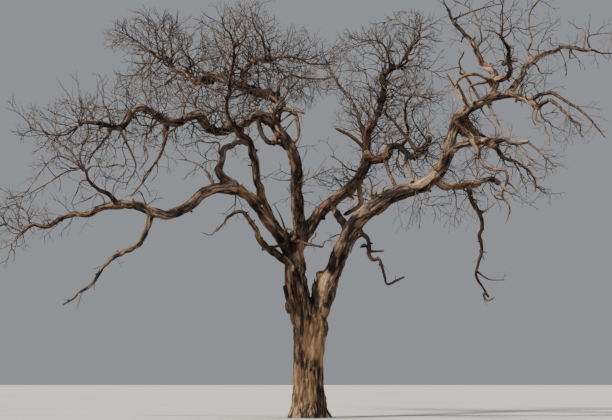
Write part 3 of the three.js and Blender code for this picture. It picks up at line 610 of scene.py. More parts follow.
# Places on the side that is seen: char where fire has charred the bark, which also paints shadow
# on some limb undersides; dark for painted shade where limbs lie in shadow, and for dark weathered
# wood; bare where the bark has come off. Each is (across, up, half width, half height, and how
# strong where it isn't 1) in sketch steps.
marks = {
  "charAndShadow": [(-16, 170, 5, 8), (43, 193, 6, 10), (25, 154, 4, 13), (7, 122, 4, 19), (18, 112, 4, 5),
           (-24, 122, 4, 10), (-6, 93, 2.2, 20), (-22, 274, 6, 7), (-12, 238, 3, 12),
           (36, 195, 7, 12), (75, 316, 4, 22), (84, 346, 5, 6), (150, 375, 5, 18),
           (-119, 352, 5, 8), (-135, 354, 12, 4), (-182, 291, 8, 4), (-200, 292, 14, 4),
           (-84, 320, 14, 4), (-98, 337, 12, 4), (119, 272, 6, 11), (184, 238, 5, 4),
           (191, 269, 6, 6), (139, 407, 4, 12), (150, 386, 5, 12), (161, 366, 5, 8),
           (88, 271, 7, 6), (97, 264, 8, 7), (62, 172, 10, 14), (82, 145, 18, 14)],
  "dark": [(-10, 215, 8, 22), (-12, 250, 9, 22), (-24, 275, 10, 12), (8, 198, 9, 9),
           (24, 213, 12, 8), (40, 226, 12, 8), (53, 242, 8, 12), (68, 258, 12, 8),
           (-12, 128, 5, 24), (-90, 328, 34, 9, 0.6), (-38, 168, 18, 12), (142, 402, 10, 18),
           (154, 380, 10, 18), (168, 360, 10, 12), (196, 350, 8, 16), (72, 320, 7, 30),
           (84, 347, 12, 8), (-82, 286, 34, 8), (-100, 336, 18, 7), (-150, 296, 50, 8, 0.5),
           (92, 286, 14, 22), (102, 262, 12, 8), (160, 215, 8, 20), (171, 180, 9, 25),
           (173, 145, 10, 30), (60, 170, 18, 26), (82, 142, 22, 18), (157, 289, 7, 12),
           (180, 270, 12, 9), (180, 262, 20, 5), (150, 292, 12, 7), (-56, 325, 26, 9),
           (-64, 352, 16, 10), (-104, 345, 14, 8), (-45, 285, 14, 12), (-47, 358, 16, 7),
           (60, 290, 8, 24), (-36, 300, 15, 11, 0.35), (30, 160, 12, 24, 0.35),
           (50, 195, 16, 18, 0.35), (80, 220, 20, 12, 0.3), (-25, 182, 10, 16, 0.2),
           (-46, 207, 16, 14, 0.2), (0, 99, 16, 12, 0.35)],
  "bare": [(15, 130, 5, 14), (-7, 166, 8, 9), (30, 170, 4, 10), (17, 106, 4, 6),
           (150, 317, 8, 6), (-3, 78, 4, 24), (9, 84, 6, 26), (-9, 40, 4, 14),
           (4, 30, 4, 16), (8, 68, 13, 22), (50, 221, 8, 14), (-40, 196, 7, 14),
           (-60, 221, 12, 8), (155, 232, 26, 5)],
}
markRule = {
  "edge": 1.6,  # a mark ends this many half widths out
  "away": (2, 0.1),  # it fades on the side that faces away: how fast, and from what normal
  # painted shade on the undersides, set by the next two rules
  "under": (1.5, 0.25, 0.9),  # undersides are dark too: how fast, from what, and the most
  "underFrom": (3, 40),  # as a share of how many steps up: none on the trunk's foot
}


def markPlaces(made):
    spots = np.array([sketched(corner.co) / seen["step"] for corner in made.data.vertices])
    normals = np.array([tuple(corner.normal) for corner in made.data.vertices])
    fast, least = markRule["away"]
    away = fast * np.maximum(0, normals[:, 1] - least)
    fast, least, most = markRule["under"]
    low, over = markRule["underFrom"]
    # painted shade: corners whose normals face down are darkened
    under = np.clip(-fast * normals[:, 2] - least, 0, most)
    under = under * np.clip(spots[:, 1] / over - low, 0, 1)
    for label, places in marks.items():
        # the dark layer starts from this painted shade on the undersides
        value = under if label == "dark" else np.zeros(len(spots))
        for across, up, wide, tall, *strong in places:
            out = np.hypot((spots[:, 0] - across) / wide, (spots[:, 1] - up) / tall)
            mark = np.clip(markRule["edge"] - out - away, 0, markRule["edge"])
            value = np.maximum(value, mark * (strong[0] if strong else 1))
        layer = made.data.attributes.new(label, "FLOAT", "POINT")
        layer.data.foreach_set("value", value)


def woodPiece(name, shells, limbs, voxel, material, group):
    # the shells grown into one skin, with the bark's relief on it
    corners, faces = [], []
    for shellCorners, shellFaces in shells:
        base = sum(len(c) for c in corners)
        corners.append(shellCorners)
        faces += [[base + i for i in face] for face in shellFaces]
    rough = meshObject(name + "Rough", np.concatenate(corners), faces)
    remesh = rough.modifiers.new("grownTogether", "REMESH")
    remesh.mode, remesh.voxel_size = "VOXEL", voxel
    soft = rough.modifiers.new("soft", "SMOOTH")
    soft.factor, soft.iterations = 0.5, 5
    grown = plain(rough, name + "Grown")
    barkPlaces(grown, limbs)
    useGroup(grown, group, {"Material": material})
    done = plain(grown, name)
    dropLayers(done, ("barkNext", "ownShare", "girth"))
    if name == "trunkAndStems":
        cutAtGround(done)
    markPlaces(done)
    done.data.shade_smooth()
    print(name, triangles(done), "triangles")
    return done


# Smaller limbs that the solids leave out, sketched in steps of 30 mm as (across, up), with the
# thickness in millimetres at both ends and how far the tip drifts away in metres
sideLimbs = {
  "sides": 7, "spacing": 0.08, "crook": 0.03, "tip": 0.5,
  "knobs": 0.24, "knobSizes": [(6, 1)], "knobShift": (3, 1, 7),
  "collar": (0.4, 3),  # how much they widen at the start, and over how many radii
  "clear": 0.9,  # no bend lies nearer to the root than this share of the parent's radius
  "bark": [
    ("spire", 70, 25, 0.8, [(143, 397), (164, 406), (191, 413)]),
    ("crook", 50, 20, -0.3, [(190, 382), (185, 385), (174, 387)]),
    ("crook", 45, 20, 0.3, [(192, 384), (206, 390), (219, 387)]),
    ("crook", 150, 105, -0.2, [(196, 354), (203, 357), (210, 356)]),
    ("crook", 50, 25, -0.2, [(199, 354), (192, 356), (188, 355)]),
    ("crook", 35, 18, 0.2, [(190, 382), (185, 389), (177, 392)]),
    ("crook", 30, 14, 0.3, [(192, 405), (199, 399), (202, 390)]),
    ("spire", 40, 20, 0.5, [(172, 362), (180, 371), (183, 375)]),
    ("spire", 30, 15, -0.4, [(173, 377), (182, 381), (190, 380)]),
    ("farRight", 34, 18, 0.3, [(219, 368), (230, 366), (237, 367)]),
    ("farRight", 38, 18, 0.3, [(230, 366), (231, 372), (236, 375), (242, 379), (241, 367)]),
    ("rightArm", 50, 20, -0.3, [(214, 322), (214, 331), (221, 335), (228, 334)]),
    ("rightArm", 38, 16, 0.2, [(213, 330), (221, 338), (225, 343), (222, 348)]),
    ("rightArm", 40, 18, 0.1, [(235, 321), (235, 326), (236, 332)]),
    ("rightArm", 36, 16, -0.3, [(233, 303), (245, 305), (252, 304)]),
    ("rightArm", 30, 15, 0.3, [(233, 299), (240, 297), (243, 293)]),
    ("rightUp", 50, 26, -0.5, [(176, 305), (181, 296), (187, 290), (187, 279)]),
    ("midRightUp", 40, 20, 0.3, [(90, 365), (82, 366), (73, 362), (68, 354), (60, 352)]),
    ("midRightUp", 44, 22, -0.4, [(97, 362), (104, 362), (110, 371), (117, 372), (112, 366),
     (111, 357), (119, 347)]),
    ("midRightUp", 36, 16, 0.4, [(111, 382), (112, 398), (103, 404), (85, 405)]),
    ("midRightUp", 36, 16, -0.3, [(114, 384), (124, 392), (132, 398), (140, 401)]),
    ("midRightUp", 30, 15, 0.2, [(109, 385), (107, 398), (108, 402)]),
    ("midRightUp", 40, 20, 0.4, [(99, 350), (110, 352), (118, 348), (130, 343)]),
    ("midRightUp", 45, 22, -0.2, [(96, 345), (99, 336), (101, 325), (103, 321)]),
    ("midRightUp", 70, 22, -0.3, [(74, 320), (82, 328), (92, 323), (101, 321), (112, 322),
     (121, 318), (128, 311)]),
    ("midRightUp", 34, 16, 0.3, [(98, 344), (88, 339), (81, 334), (77, 325)]),
    ("spire", 60, 30, 1.0, [(166, 366), (173, 377), (170, 389), (164, 406), (145, 417)]),
    ("farRight", 60, 35, 0.3, [(276, 369), (277, 387), (267, 389)]),
    ("farRight", 55, 30, -0.4, [(282, 368), (280, 379), (288, 382), (304, 384)]),
    ("farRight", 40, 20, -0.4, [(262, 366), (262, 358), (268, 359), (273, 347)]),
    ("farRight", 35, 15, 0.3, [(252, 366), (257, 355), (259, 342)]),
    ("farRight", 75, 45, 0.6, [(225, 357), (219, 365), (220, 369), (224, 375), (222, 390),
     (221, 403), (228, 414), (233, 420)]),
    ("elbow", 130, 50, -0.3, [(112, 262), (100, 279), (92, 289), (85, 296), (78, 302), (77, 307),
     (80, 311), (92, 312)]),
    ("elbow", 55, 25, 0.3, [(104, 300), (108, 321), (107, 334), (104, 348)]),
    ("midRightUp", 60, 25, 0.4, [(97, 363), (112, 381), (108, 386), (98, 392), (87, 397), (76, 394),
     (73, 389)]),
    ("midRightUp", 55, 25, -0.5, [(83, 354), (74, 356), (68, 362), (60, 365), (52, 362)]),
    ("midRightUp", 40, 20, -0.3, [(75, 372), (60, 374), (41, 369), (30, 364), (22, 358)]),
    ("midRight", 60, 25, -0.4, [(52, 245), (40, 248), (30, 256), (22, 262)]),
    ("midRight", 45, 20, 0.3, [(48, 240), (34, 236), (24, 243)]),
    ("centreBough", 170, 130, -0.3, [(-48, 296), (-46, 284), (-38, 275), (-28, 274), (-20, 267)]),
    ("centreBough", 40, 20, -0.3, [(-14, 238), (-28, 237), (-38, 240)]),
    ("highLeft", 50, 25, -0.4, [(-148, 391), (-134, 384), (-124, 383), (-116, 377), (-120, 366),
     (-122, 356)]),
    ("highLeftOuter", 60, 30, 0.3, [(-132, 363), (-126, 372), (-126, 382)]),
    ("highLeftOuter", 50, 25, -0.4, [(-132, 343), (-143, 334), (-147, 325), (-147, 319)]),
    ("highLeftOuter", 35, 20, 0.3, [(-143, 334), (-139, 321), (-143, 309)]),
    ("highLeftOuter", 35, 20, -0.2, [(-157, 360), (-157, 340), (-157, 313)]),
    ("highLeft", 45, 25, 0.4, [(-130, 337), (-127, 325), (-120, 317), (-116, 312)]),
    ("highLeft", 40, 20, 0.3, [(-121, 356), (-105, 358), (-88, 359)]),
    ("leftCentreTop", 50, 25, 0.4, [(-80, 361), (-85, 382), (-79, 397)]),
    ("leftCentreTop", 50, 25, -0.4, [(-74, 372), (-70, 377), (-61, 386)]),
    ("leftCentreTop", 55, 25, 0.5, [(-77, 349), (-85, 362), (-93, 376)]),
    ("midLeft", 60, 30, 0.3, [(-104, 300), (-89, 309), (-84, 313)]),
    ("midLeftOuter", 75, 30, -0.3, [(-153, 295), (-163, 275), (-160, 260), (-169, 247)]),
    ("midLeftOuter", 80, 30, 0.3, [(-186, 287), (-176, 265), (-173, 250), (-182, 232)]),
    ("midLeftOuter", 110, 45, -0.2, [(-142, 290), (-146, 268), (-158, 247), (-168, 231),
     (-178, 220)]),
    ("midLeftTip", 85, 45, -0.3, [(-198, 286), (-208, 272), (-217, 261), (-221, 252)]),
    ("leftRiserTwigs", 60, 30, -0.3, [(-222, 246), (-216, 252), (-202, 251), (-189, 253),
     (-183, 247), (-193, 232), (-196, 221)]),
    ("leftRiserTwigs", 60, 20, -0.3, [(-224, 247), (-231, 258), (-240, 268), (-259, 279),
     (-271, 296)]),
    ("leftRiserTwigs", 55, 18, 0.4, [(-226, 248), (-238, 256), (-250, 261), (-258, 257),
     (-270, 240), (-283, 223)]),
    ("leftRiserTwigs", 50, 18, -0.2, [(-230, 248), (-240, 246), (-258, 235), (-278, 224),
     (-303, 212)]),
    ("leftRiserTwigs", 55, 30, -0.3, [(-222, 243), (-229, 259), (-226, 272), (-215, 284)]),
    ("longLeftOuter", 55, 25, 0.3, [(-279, 191), (-282, 205), (-296, 212), (-305, 202)]),
    ("longLeftOuter", 45, 25, -0.3, [(-279, 191), (-290, 182), (-296, 172)]),
    ("midLeftTip", 45, 20, -0.3, [(-229, 292), (-236, 283), (-241, 276), (-244, 267)]),
    ("midLeftTip", 32, 14, 0.3, [(-236, 287), (-250, 284), (-261, 278)]),
    ("midLeftTip", 30, 14, 0.2, [(-231, 296), (-233, 305), (-234, 316), (-243, 317)]),
    ("midLeftTip", 38, 18, -0.3, [(-211, 297), (-200, 301), (-189, 308)]),
    ("longLeftOuter", 45, 20, -0.2, [(-205, 218), (-211, 223), (-219, 218), (-227, 215),
     (-236, 211)]),
    ("leftRiserTwigs", 45, 18, 0.3, [(-219, 237), (-227, 236), (-232, 224), (-238, 212)]),
    ("longLeft", 45, 30, -0.3, [(-160, 206), (-164, 216), (-169, 226), (-175, 221)]),
    ("longLeftOuter", 60, 22, 0.2, [(-281, 191), (-288, 180), (-297, 171), (-293, 164)]),
    ("leftArm", 90, 35, 0.4, [(-92, 229), (-95, 236), (-108, 250), (-121, 257), (-131, 258)]),
    ("leftArm", 40, 20, -0.3, [(-75, 227), (-72, 212), (-75, 202)]),
    ("leftLoop", 60, 35, -0.3, [(-88, 263), (-90, 274), (-100, 275), (-111, 277)]),
    ("rightStem", 45, 20, -0.3, [(40, 180), (30, 182), (20, 178)]),
    ("leftStem", 85, 20, -0.2, [(-22, 186), (-27, 200), (-34, 213)]),
  ],
  "deadwood": [
    ("rightUp", 120, 85, -0.6, [(184, 335), (178, 339), (171, 343), (163, 343), (155, 341),
     (148, 335), (147, 331)]),
    ("rightUp", 85, 45, -0.5, [(157, 341), (152, 344), (152, 350), (151, 355), (155, 361),
     (156, 366)]),
    ("rightUp", 50, 28, -0.5, [(152, 348), (148, 350), (141, 347), (132, 345), (126, 346)]),
    ("rightUp", 90, 75, -0.5, [(181, 334), (174, 334), (166, 333), (161, 331), (162, 324),
     (164, 316)]),
    ("rightUp", 85, 70, -0.6, [(148, 334), (149, 328), (152, 322), (154, 317)]),
    ("rightUp", 55, 30, -0.6, [(139, 343), (143, 335), (145, 326), (147, 315)]),
    ("midRightUp", 42, 24, -0.4, [(66, 308), (63, 318), (61, 332), (57, 343), (50, 348), (47, 350),
     (47, 362)]),
    ("midRightUp", 50, 40, -0.3, [(82, 369), (83, 377), (82, 383)]),
    ("rightArm", 85, 28, -0.3, [(230, 311), (227, 304), (229, 297), (235, 293), (239, 283),
     (242, 282), (241, 270)]),
    ("rightArm", 40, 20, 0.2, [(226, 309), (225, 297), (228, 291)]),
    ("rightMid", 60, 25, -0.4, [(206, 272), (213, 267), (225, 256), (239, 249), (245, 248)]),
    ("rightUp", 70, 40, -0.7, [(180, 312), (189, 295), (194, 282), (197, 275)]),
    ("hanging", 60, 35, -0.2, [(170, 145), (181, 137), (197, 137)]),
    ("hanging", 70, 40, -0.1, [(176, 122), (180, 116), (187, 120)]),
    ("hookDrop", 50, 25, 0.1, [(198, 235), (203, 232), (208, 226)]),
    ("hookDrop", 55, 30, 0.1, [(184, 221), (191, 219), (199, 217)]),
    ("lowSnag", 80, 50, -0.3, [(59, 166), (68, 165), (76, 166)]),
    ("lowSnag", 70, 45, -0.3, [(50, 178), (44, 170), (42, 163)]),
    ("hanging", 70, 35, 0.2, [(171, 203), (180, 209), (188, 215)]),
    ("hanging", 30, 15, -0.2, [(172, 167), (177, 156)]),
    ("elbow", 110, 90, -0.5, [(97, 259), (101, 250), (104, 240), (107, 230)]),
    ("elbow", 130, 115, -0.5, [(76, 260), (81, 247), (88, 230)]),
    ("elbow", 190, 170, -0.3, [(70, 258), (77, 264), (81, 273)]),
    ("midRight", 150, 90, -0.4, [(58, 268), (44, 280), (27, 289)]),
    ("centreBough", 150, 80, -0.5, [(-33, 303), (-25, 308), (-18, 307), (-13, 303), (-10, 297),
     (-10, 287), (-10, 279), (-14, 275), (-17, 270), (-16, 262), (-18, 252)]),
    ("centreBough", 70, 45, -0.5, [(-13, 305), (-8, 305), (-3, 303)]),
    ("centreBough", 45, 30, -0.5, [(-11, 300), (-6, 300), (-2, 298)]),
    ("centreBough", 60, 30, -0.6, [(-24, 306), (-18, 306), (-11, 309), (-3, 304)]),
    ("droopLeft", 40, 20, -0.2, [(-90, 190), (-97, 182), (-107, 185)]),
    ("lowSnag", 60, 40, -0.2, [(52, 170), (58, 172), (61, 161), (64, 157)]),
    ("midRight", 185, 125, -0.6, [(50, 237), (51, 229), (52, 222), (52, 214), (48, 209), (42, 205),
     (36, 202)]),
    ("midRight", 80, 40, -0.9, [(49, 232), (47, 225), (44, 221), (47, 215), (44, 210), (40, 207)]),
    ("midRight", 60, 32, -0.4, [(50, 236), (56, 231), (60, 226), (62, 221)]),
    ("rightBough", 95, 40, -0.3, [(68, 216), (64, 219), (62, 223), (64, 229), (63, 235),
     (60, 241)]),
    ("rightBough", 50, 25, -0.3, [(63, 227), (66, 231), (70, 233), (74, 238), (78, 235),
     (79, 232)]),
    ("rightBough", 60, 26, -0.4, [(75, 219), (74, 226), (78, 231), (84, 231)]),
    ("rightBough", 70, 50, -0.4, [(70, 216), (67, 222), (69, 226)]),
    ("leftStem", 115, 55, -1.3, [(-19, 176), (-17, 176), (-8, 175), (3, 173), (15, 170)]),
    ("leftStem", 115, 60, -1.3, [(-19, 175), (-21, 174), (-30, 172), (-39, 171), (-46, 175)]),
    ("leftStem", 100, 60, -1.0, [(-18, 175), (-19, 178), (-23, 182), (-22, 188), (-16, 187)]),
    ("leftStem", 75, 35, -0.9, [(-17, 175), (-15, 179), (-17, 184), (-13, 187), (-12, 192)]),
    ("leftStem", 45, 25, -1.2, [(0, 173), (3, 173), (4, 177), (7, 180), (8, 184)]),
    ("leftStem", 45, 22, -1.3, [(8, 171), (13, 170), (16, 173), (17, 177), (24, 176), (30, 174)]),
  ],
}


def lumpyRadii(points, along, radii, rule):
    # uneven, and wider where the limb leaves its parent
    swell, reach = sideLimbs["collar"]
    lumps = sideLimbs["knobs"] * lumpsAt(points, rule["knobSizes"], rule["knobShift"])
    return radii * (1 + lumps) * (1 + swell * np.exp(-along / (reach * radii[0])))


def growSideLimb(parent, thick, bends, drift, rng):
    flat = [Vector((a, u)) * seen["step"] for a, u in bends]
    shown = [(sketched(Vector(p)) - flat[0]).length for p in parent["points"][1:]]
    nearest = 1 + int(np.argmin(shown))
    root = Vector(parent["points"][nearest])
    depth = root.y / seen["depth"]
    route = [root]
    for i, point in enumerate(flat):
        share = i / (len(flat) - 1)
        there = place(point.x, point.y, depth + drift * share / seen["depth"])
        if (there - root).length > parent["radii"][nearest] * sideLimbs["clear"]:
            route.append(there)
    if len(route) < 2:
        route.append(place(flat[-1].x, flat[-1].y, depth))
    for point in route[1:-1]:
        point += Vector(rng.uniform(-1, 1) for _ in range(3)) * sideLimbs["crook"]
    points, along = smoothRoute(route, sideLimbs["spacing"])
    share = along / along[-1]
    radii = (thick[0] + (thick[1] - thick[0]) * share) / 2000
    radii = lumpyRadii(points, along, radii, sideLimbs)
    radii[-1] *= sideLimbs["tip"]
    return {"points": points, "along": along, "radii": radii, "parent": parent["name"]}


# Lesser limbs grow by rule from the limbs named here: (how many, from where on the limb, longest,
# rising 1 or hanging -1)
lesserRule = {
  "thick": (0.028, 0.056), "tip": 0.018, "crook": 0.55, "steps": 7, "fewest": 4, "rise": 0.16,
  "angle": 1.0, "across": 0.55, "turn": 2.4, "lengths": (0.5, 1),
  "knobSizes": [(7, 1)], "knobShift": (0, 0, 0),
  "upTo": 0.97,  # share of the limb after which none leaves
  "ofLimb": 1.3,  # at most this share of the limb's radius there
  "inCrown": 0.2,  # they keep to where the twigs cover at least this much of the sky
  "onLimbs": {
    "longLeft": (12, 0.3, 1.0, 0.2), "longLeftOuter": (10, 0.1, 1.0, 0.3),
    "longLeftDrop": (7, 0.3, 0.8, -0.4), "leftLoop": (6, 0.3, 0.9, 0.3),
    "droopLeft": (9, 0.5, 0.7, -0.2), "leftCentre": (15, 0.4, 1.1, 0.3),
    "leftCentreTop": (15, 0.1, 1.6, 0.6), "highLeft": (21, 0.2, 1.9, 0.5),
    "highLeftOuter": (21, 0.1, 1.9, 0.4), "midLeft": (14, 0.3, 1.5, 0.5),
    "midLeftOuter": (18, 0.1, 1.4, -0.1), "midLeftTip": (10, 0.1, 1.4, 0.3),
    "archBough": (18, 0.1, 1.8, 0.6), "midRightUp": (22, 0.2, 1.8, 0.4),
    "backBough": (27, 0.3, 1.9, 0.5), "frontBough": (27, 0.4, 1.9, 0.5),
    "elbow": (18, 0.3, 1.5, 0.3), "rightBough": (6, 0.4, 1.0, -0.4), "rightUp": (5, 0.2, 1.1, 0.2),
    "rightArm": (6, 0.2, 1.0, -0.2), "spire": (5, 0.3, 1.0, 0.4), "crook": (5, 0.2, 0.9, 0.4),
    "farRight": (6, 0.3, 0.9, 0.2), "rightMid": (5, 0.3, 0.9, -0.2),
    "rightBack": (14, 0.3, 1.1, -0.3), "rightLow": (12, 0.2, 1.0, -0.3),
    "hanging": (4, 0.3, 0.6, -0.2), "lowSnag": (5, 0.3, 0.5, 0.0), "hookDrop": (2, 0.2, 0.5, -0.2),
  },
  "bareLimbs": ["hanging", "lowSnag", "hookDrop", "rightMid", "rightArm"],
}


def crookedLimb(root, way, length, thick, rises, allowed, rng):
    route = [root]
    for _ in range(lesserRule["steps"]):
        crook = Vector(rng.uniform(-0.5, 0.5) for _ in range(3)) * 2 * lesserRule["crook"]
        way = (way + crook + Vector((0, 0, rises * lesserRule["rise"]))).normalized()
        there = route[-1] + way * length / lesserRule["steps"]
        if not allowed(there) or mayCover(sketched(there) / seen["step"]) < lesserRule["inCrown"]:
            break
        route.append(there)
    if len(route) < lesserRule["fewest"]:
        return None
    points, along = smoothRoute(route, sideLimbs["spacing"])
    radii = thick / 2 + (lesserRule["tip"] - thick) / 2 * along / along[-1]
    return {"points": points, "along": along,
            "radii": lumpyRadii(points, along, radii, lesserRule)}


def growLesserLimbs(limbs, allowed, rng):
    made = []
    for name, (count, low, longest, rises) in lesserRule["onLimbs"].items():
        parent = limbs[name]
        for i in range(count):
            share = low + (lesserRule["upTo"] - low) * (i + rng.random()) / count
            at = min(len(parent["points"]) - 2, int(share * len(parent["points"])))
            turn = i * lesserRule["turn"] + rng.random()
            side = parent["sides"][at] * math.cos(turn) + parent["ups"][at] * math.sin(turn)
            side = Vector((side[0] * lesserRule["across"], side[1], side[2])).normalized()
            way = Vector(parent["tangents"][at]) * math.cos(lesserRule["angle"])
            way = way + side * math.sin(lesserRule["angle"])
            thick = rng.uniform(*lesserRule["thick"])
            thick = min(thick, parent["radii"][at] * lesserRule["ofLimb"])
            length = longest * rng.uniform(*lesserRule["lengths"])
            root = Vector(parent["points"][at])
            form = crookedLimb(root, way, length, thick, rises, allowed, rng)
            if form:
                slot = "deadwood" if name in lesserRule["bareLimbs"] else "bark"
                made.append({**form, "parent": name, "slot": slot})
    print("lesser limbs:", len(made))
    return made


# Twigs grow by one rule, each level finer than the last, within the space of their mass or limb.
# They kink at every joint, and side twigs leave from the outside of the kinks.
twigRule = {
  "stem": (0.6, 0.2),  # shares of its solid's thickness that a mass's stem has at both ends
  "first": 20,  # twigs on a mass's stem
  "onStem": (0.15, 0.99),  # and where on it
  "stemSpread": (0.6, 1.1), "stemLongest": 1.3, "stemSizes": (1.15, 0.9),  # rising, hanging
  "limbReach": (0.5, 1.2), "limbMiddle": (0.3, 0.5), "limbLongest": 1.2,
  "limbSizes": (0.75, 0.4), "hangingSize": 0.6,  # thickness grows with the reach
  "onSideLimb": (1.5, 0.1, 0.9),  # times the twigs of its parent, from where on, reach
  "onDeadwood": (3.0, 0.25, 0.3),  # twigs in a metre, from where on, reach
  "beyond": 1.15,  # how far the finest twigs go past the space that the solids keep to
  "angle": 0.95, "spread": (0.7, 1.2), "turn": 2.4, "aside": 0.4,
  "lean": 0.09, "hang": 2.2, "hangs": -0.9,  # below this number they hang by their weight
  "least": 0.1, "leastFalls": 0.2,  # metres, and the share less that does at each level
  "lengths": (0.5, 1), "longest": (0.7, 1), "later": (0.6, 0.7),
  "joint": [0.16, 0.13, 0.11, 0.09],  # metres between joints
  "kink": [0.85, 0.75, 0.6, 0.5],
  "bearing": [0.95, 0.85, 0.7, 0.0],  # how many of the joints bear a side twig
  "share": [1.0, 0.85, 0.8, 0.75],
  "thick": [0.027, 0.016, 0.0105, 0.0078], "uneven": (0.8, 1.15),
  "thin": 0.4,  # of its thickness at a twig's tip
  "filled": [0.8, 1.0, 1.15, 1.3],  # of what the crown holds at a place, level by level
  "sprayTones": 3,
}

# How much sky the twigs may cover, place by place: (across, up, half width, half height, share)
# in sketch steps. Elsewhere there is hardly any, and little in the gaps.
crownFill = {
  "cell": 0.27, "elsewhere": 0.12,
  "edge": (1.25, 0.4),  # half widths at which an area ends, and over which it fades
  "layer": 0.9, "layerShare": 0.4,  # how deep a layer of the crown is, and what one may hold
  "areas": [
    (-143, 357, 64, 46, 1.15), (-73, 337, 45, 50, 1.25), (-48, 397, 38, 22, 1.05),
    (-8, 352, 44, 42, 1.25), (77, 377, 52, 32, 1.10), (82, 317, 46, 42, 1.20),
    (-238, 292, 58, 30, 0.80), (-238, 247, 52, 26, 0.42), (-138, 297, 64, 27, 0.70),
    (-288, 197, 28, 28, 0.60), (-188, 252, 54, 34, 0.25), (22, 307, 32, 27, 0.70),
    (152, 287, 42, 46, 1.05), (130, 217, 50, 26, 0.50), (192, 357, 66, 62, 0.30),
    (282, 372, 30, 28, 0.26), (252, 307, 52, 38, 0.32), (212, 257, 52, 42, 0.32),
    (32, 227, 38, 27, 0.45), (-108, 252, 30, 24, 0.85), (-28, 252, 30, 24, 0.10),
    (92, 271, 40, 28, 0.85), (-55, 325, 11, 9, 3.2), (-18, 183, 8, 8, 1.6),
  ],
  "gaps": [(-113, 394, 9, 30, 0.2), (60, 350, 9, 16, 0.25), (-95, 277, 14, 8, 0.3)],
}

# Twigs along the limbs: (twigs in a metre, from where on the limb, reach, rising or hanging)
twigged = {
  "longLeft": (1.7, 0.35, 0.8, 0.3), "longLeftOuter": (7.1, 0.15, 1.0, 0.3),
  "longLeftDrop": (2.4, 0.3, 0.7, -0.4), "leftLoop": (5.4, 0.3, 0.8, 0.3),
  "droopLeft": (3.8, 0.6, 0.7, -0.3), "leftCentre": (4.8, 0.5, 1.0, 0.4),
  "leftCentreTop": (9.1, 0.1, 1.1, 0.6), "highLeft": (8.1, 0.2, 1.1, 0.4),
  "highLeftOuter": (10.8, 0.0, 1.3, 0.4), "midLeft": (5.4, 0.3, 1.0, 0.5),
  "midLeftOuter": (7.1, 0.0, 1.1, 0.2), "midLeftTip": (11.9, 0.0, 1.3, 0.4),
  "archBough": (10.8, 0.0, 1.3, 0.5), "midRightUp": (7.1, 0.3, 1.1, 0.4),
  "backBough": (6.4, 0.3, 1.3, 0.4), "frontBough": (6.4, 0.4, 1.3, 0.4),
  "elbow": (7.1, 0.3, 1.0, 0.2), "centreBough": (2.1, 0.6, 0.8, 0.0),
  "midRight": (2.1, 0.3, 0.7, 0.2), "rightBough": (6.0, 0.1, 1.3, -1.0),
  "rightUp": (2.1, 0.2, 0.7, 0.0), "rightArm": (4.3, 0.2, 0.7, -0.2),
  "spire": (3.8, 0.2, 0.7, 0.3), "crook": (4.8, 0.1, 0.7, 0.3), "farRight": (3.3, 0.2, 0.6, 0.2),
  "rightMid": (3.8, 0.2, 0.6, -0.2), "rightBack": (5.4, 0.3, 0.8, -0.4),
  "rightLow": (6.0, 0.1, 1.0, -0.5), "hanging": (3.3, 0.2, 0.4, -0.2),
  "lowSnag": (3.3, 0.3, 0.3, 0.0), "rightStem": (0.6, 0.8, 0.6, -0.3),
  "leftRiserTwigs": (4.0, 0.1, 0.9, 0.3), "leftStem": (0.0, 0.9, 0.4, 0.0),
  "leftArm": (2.1, 0.6, 0.8, -0.4), "prongTwigs": (9.0, 0.05, 1.25, -0.1),
}

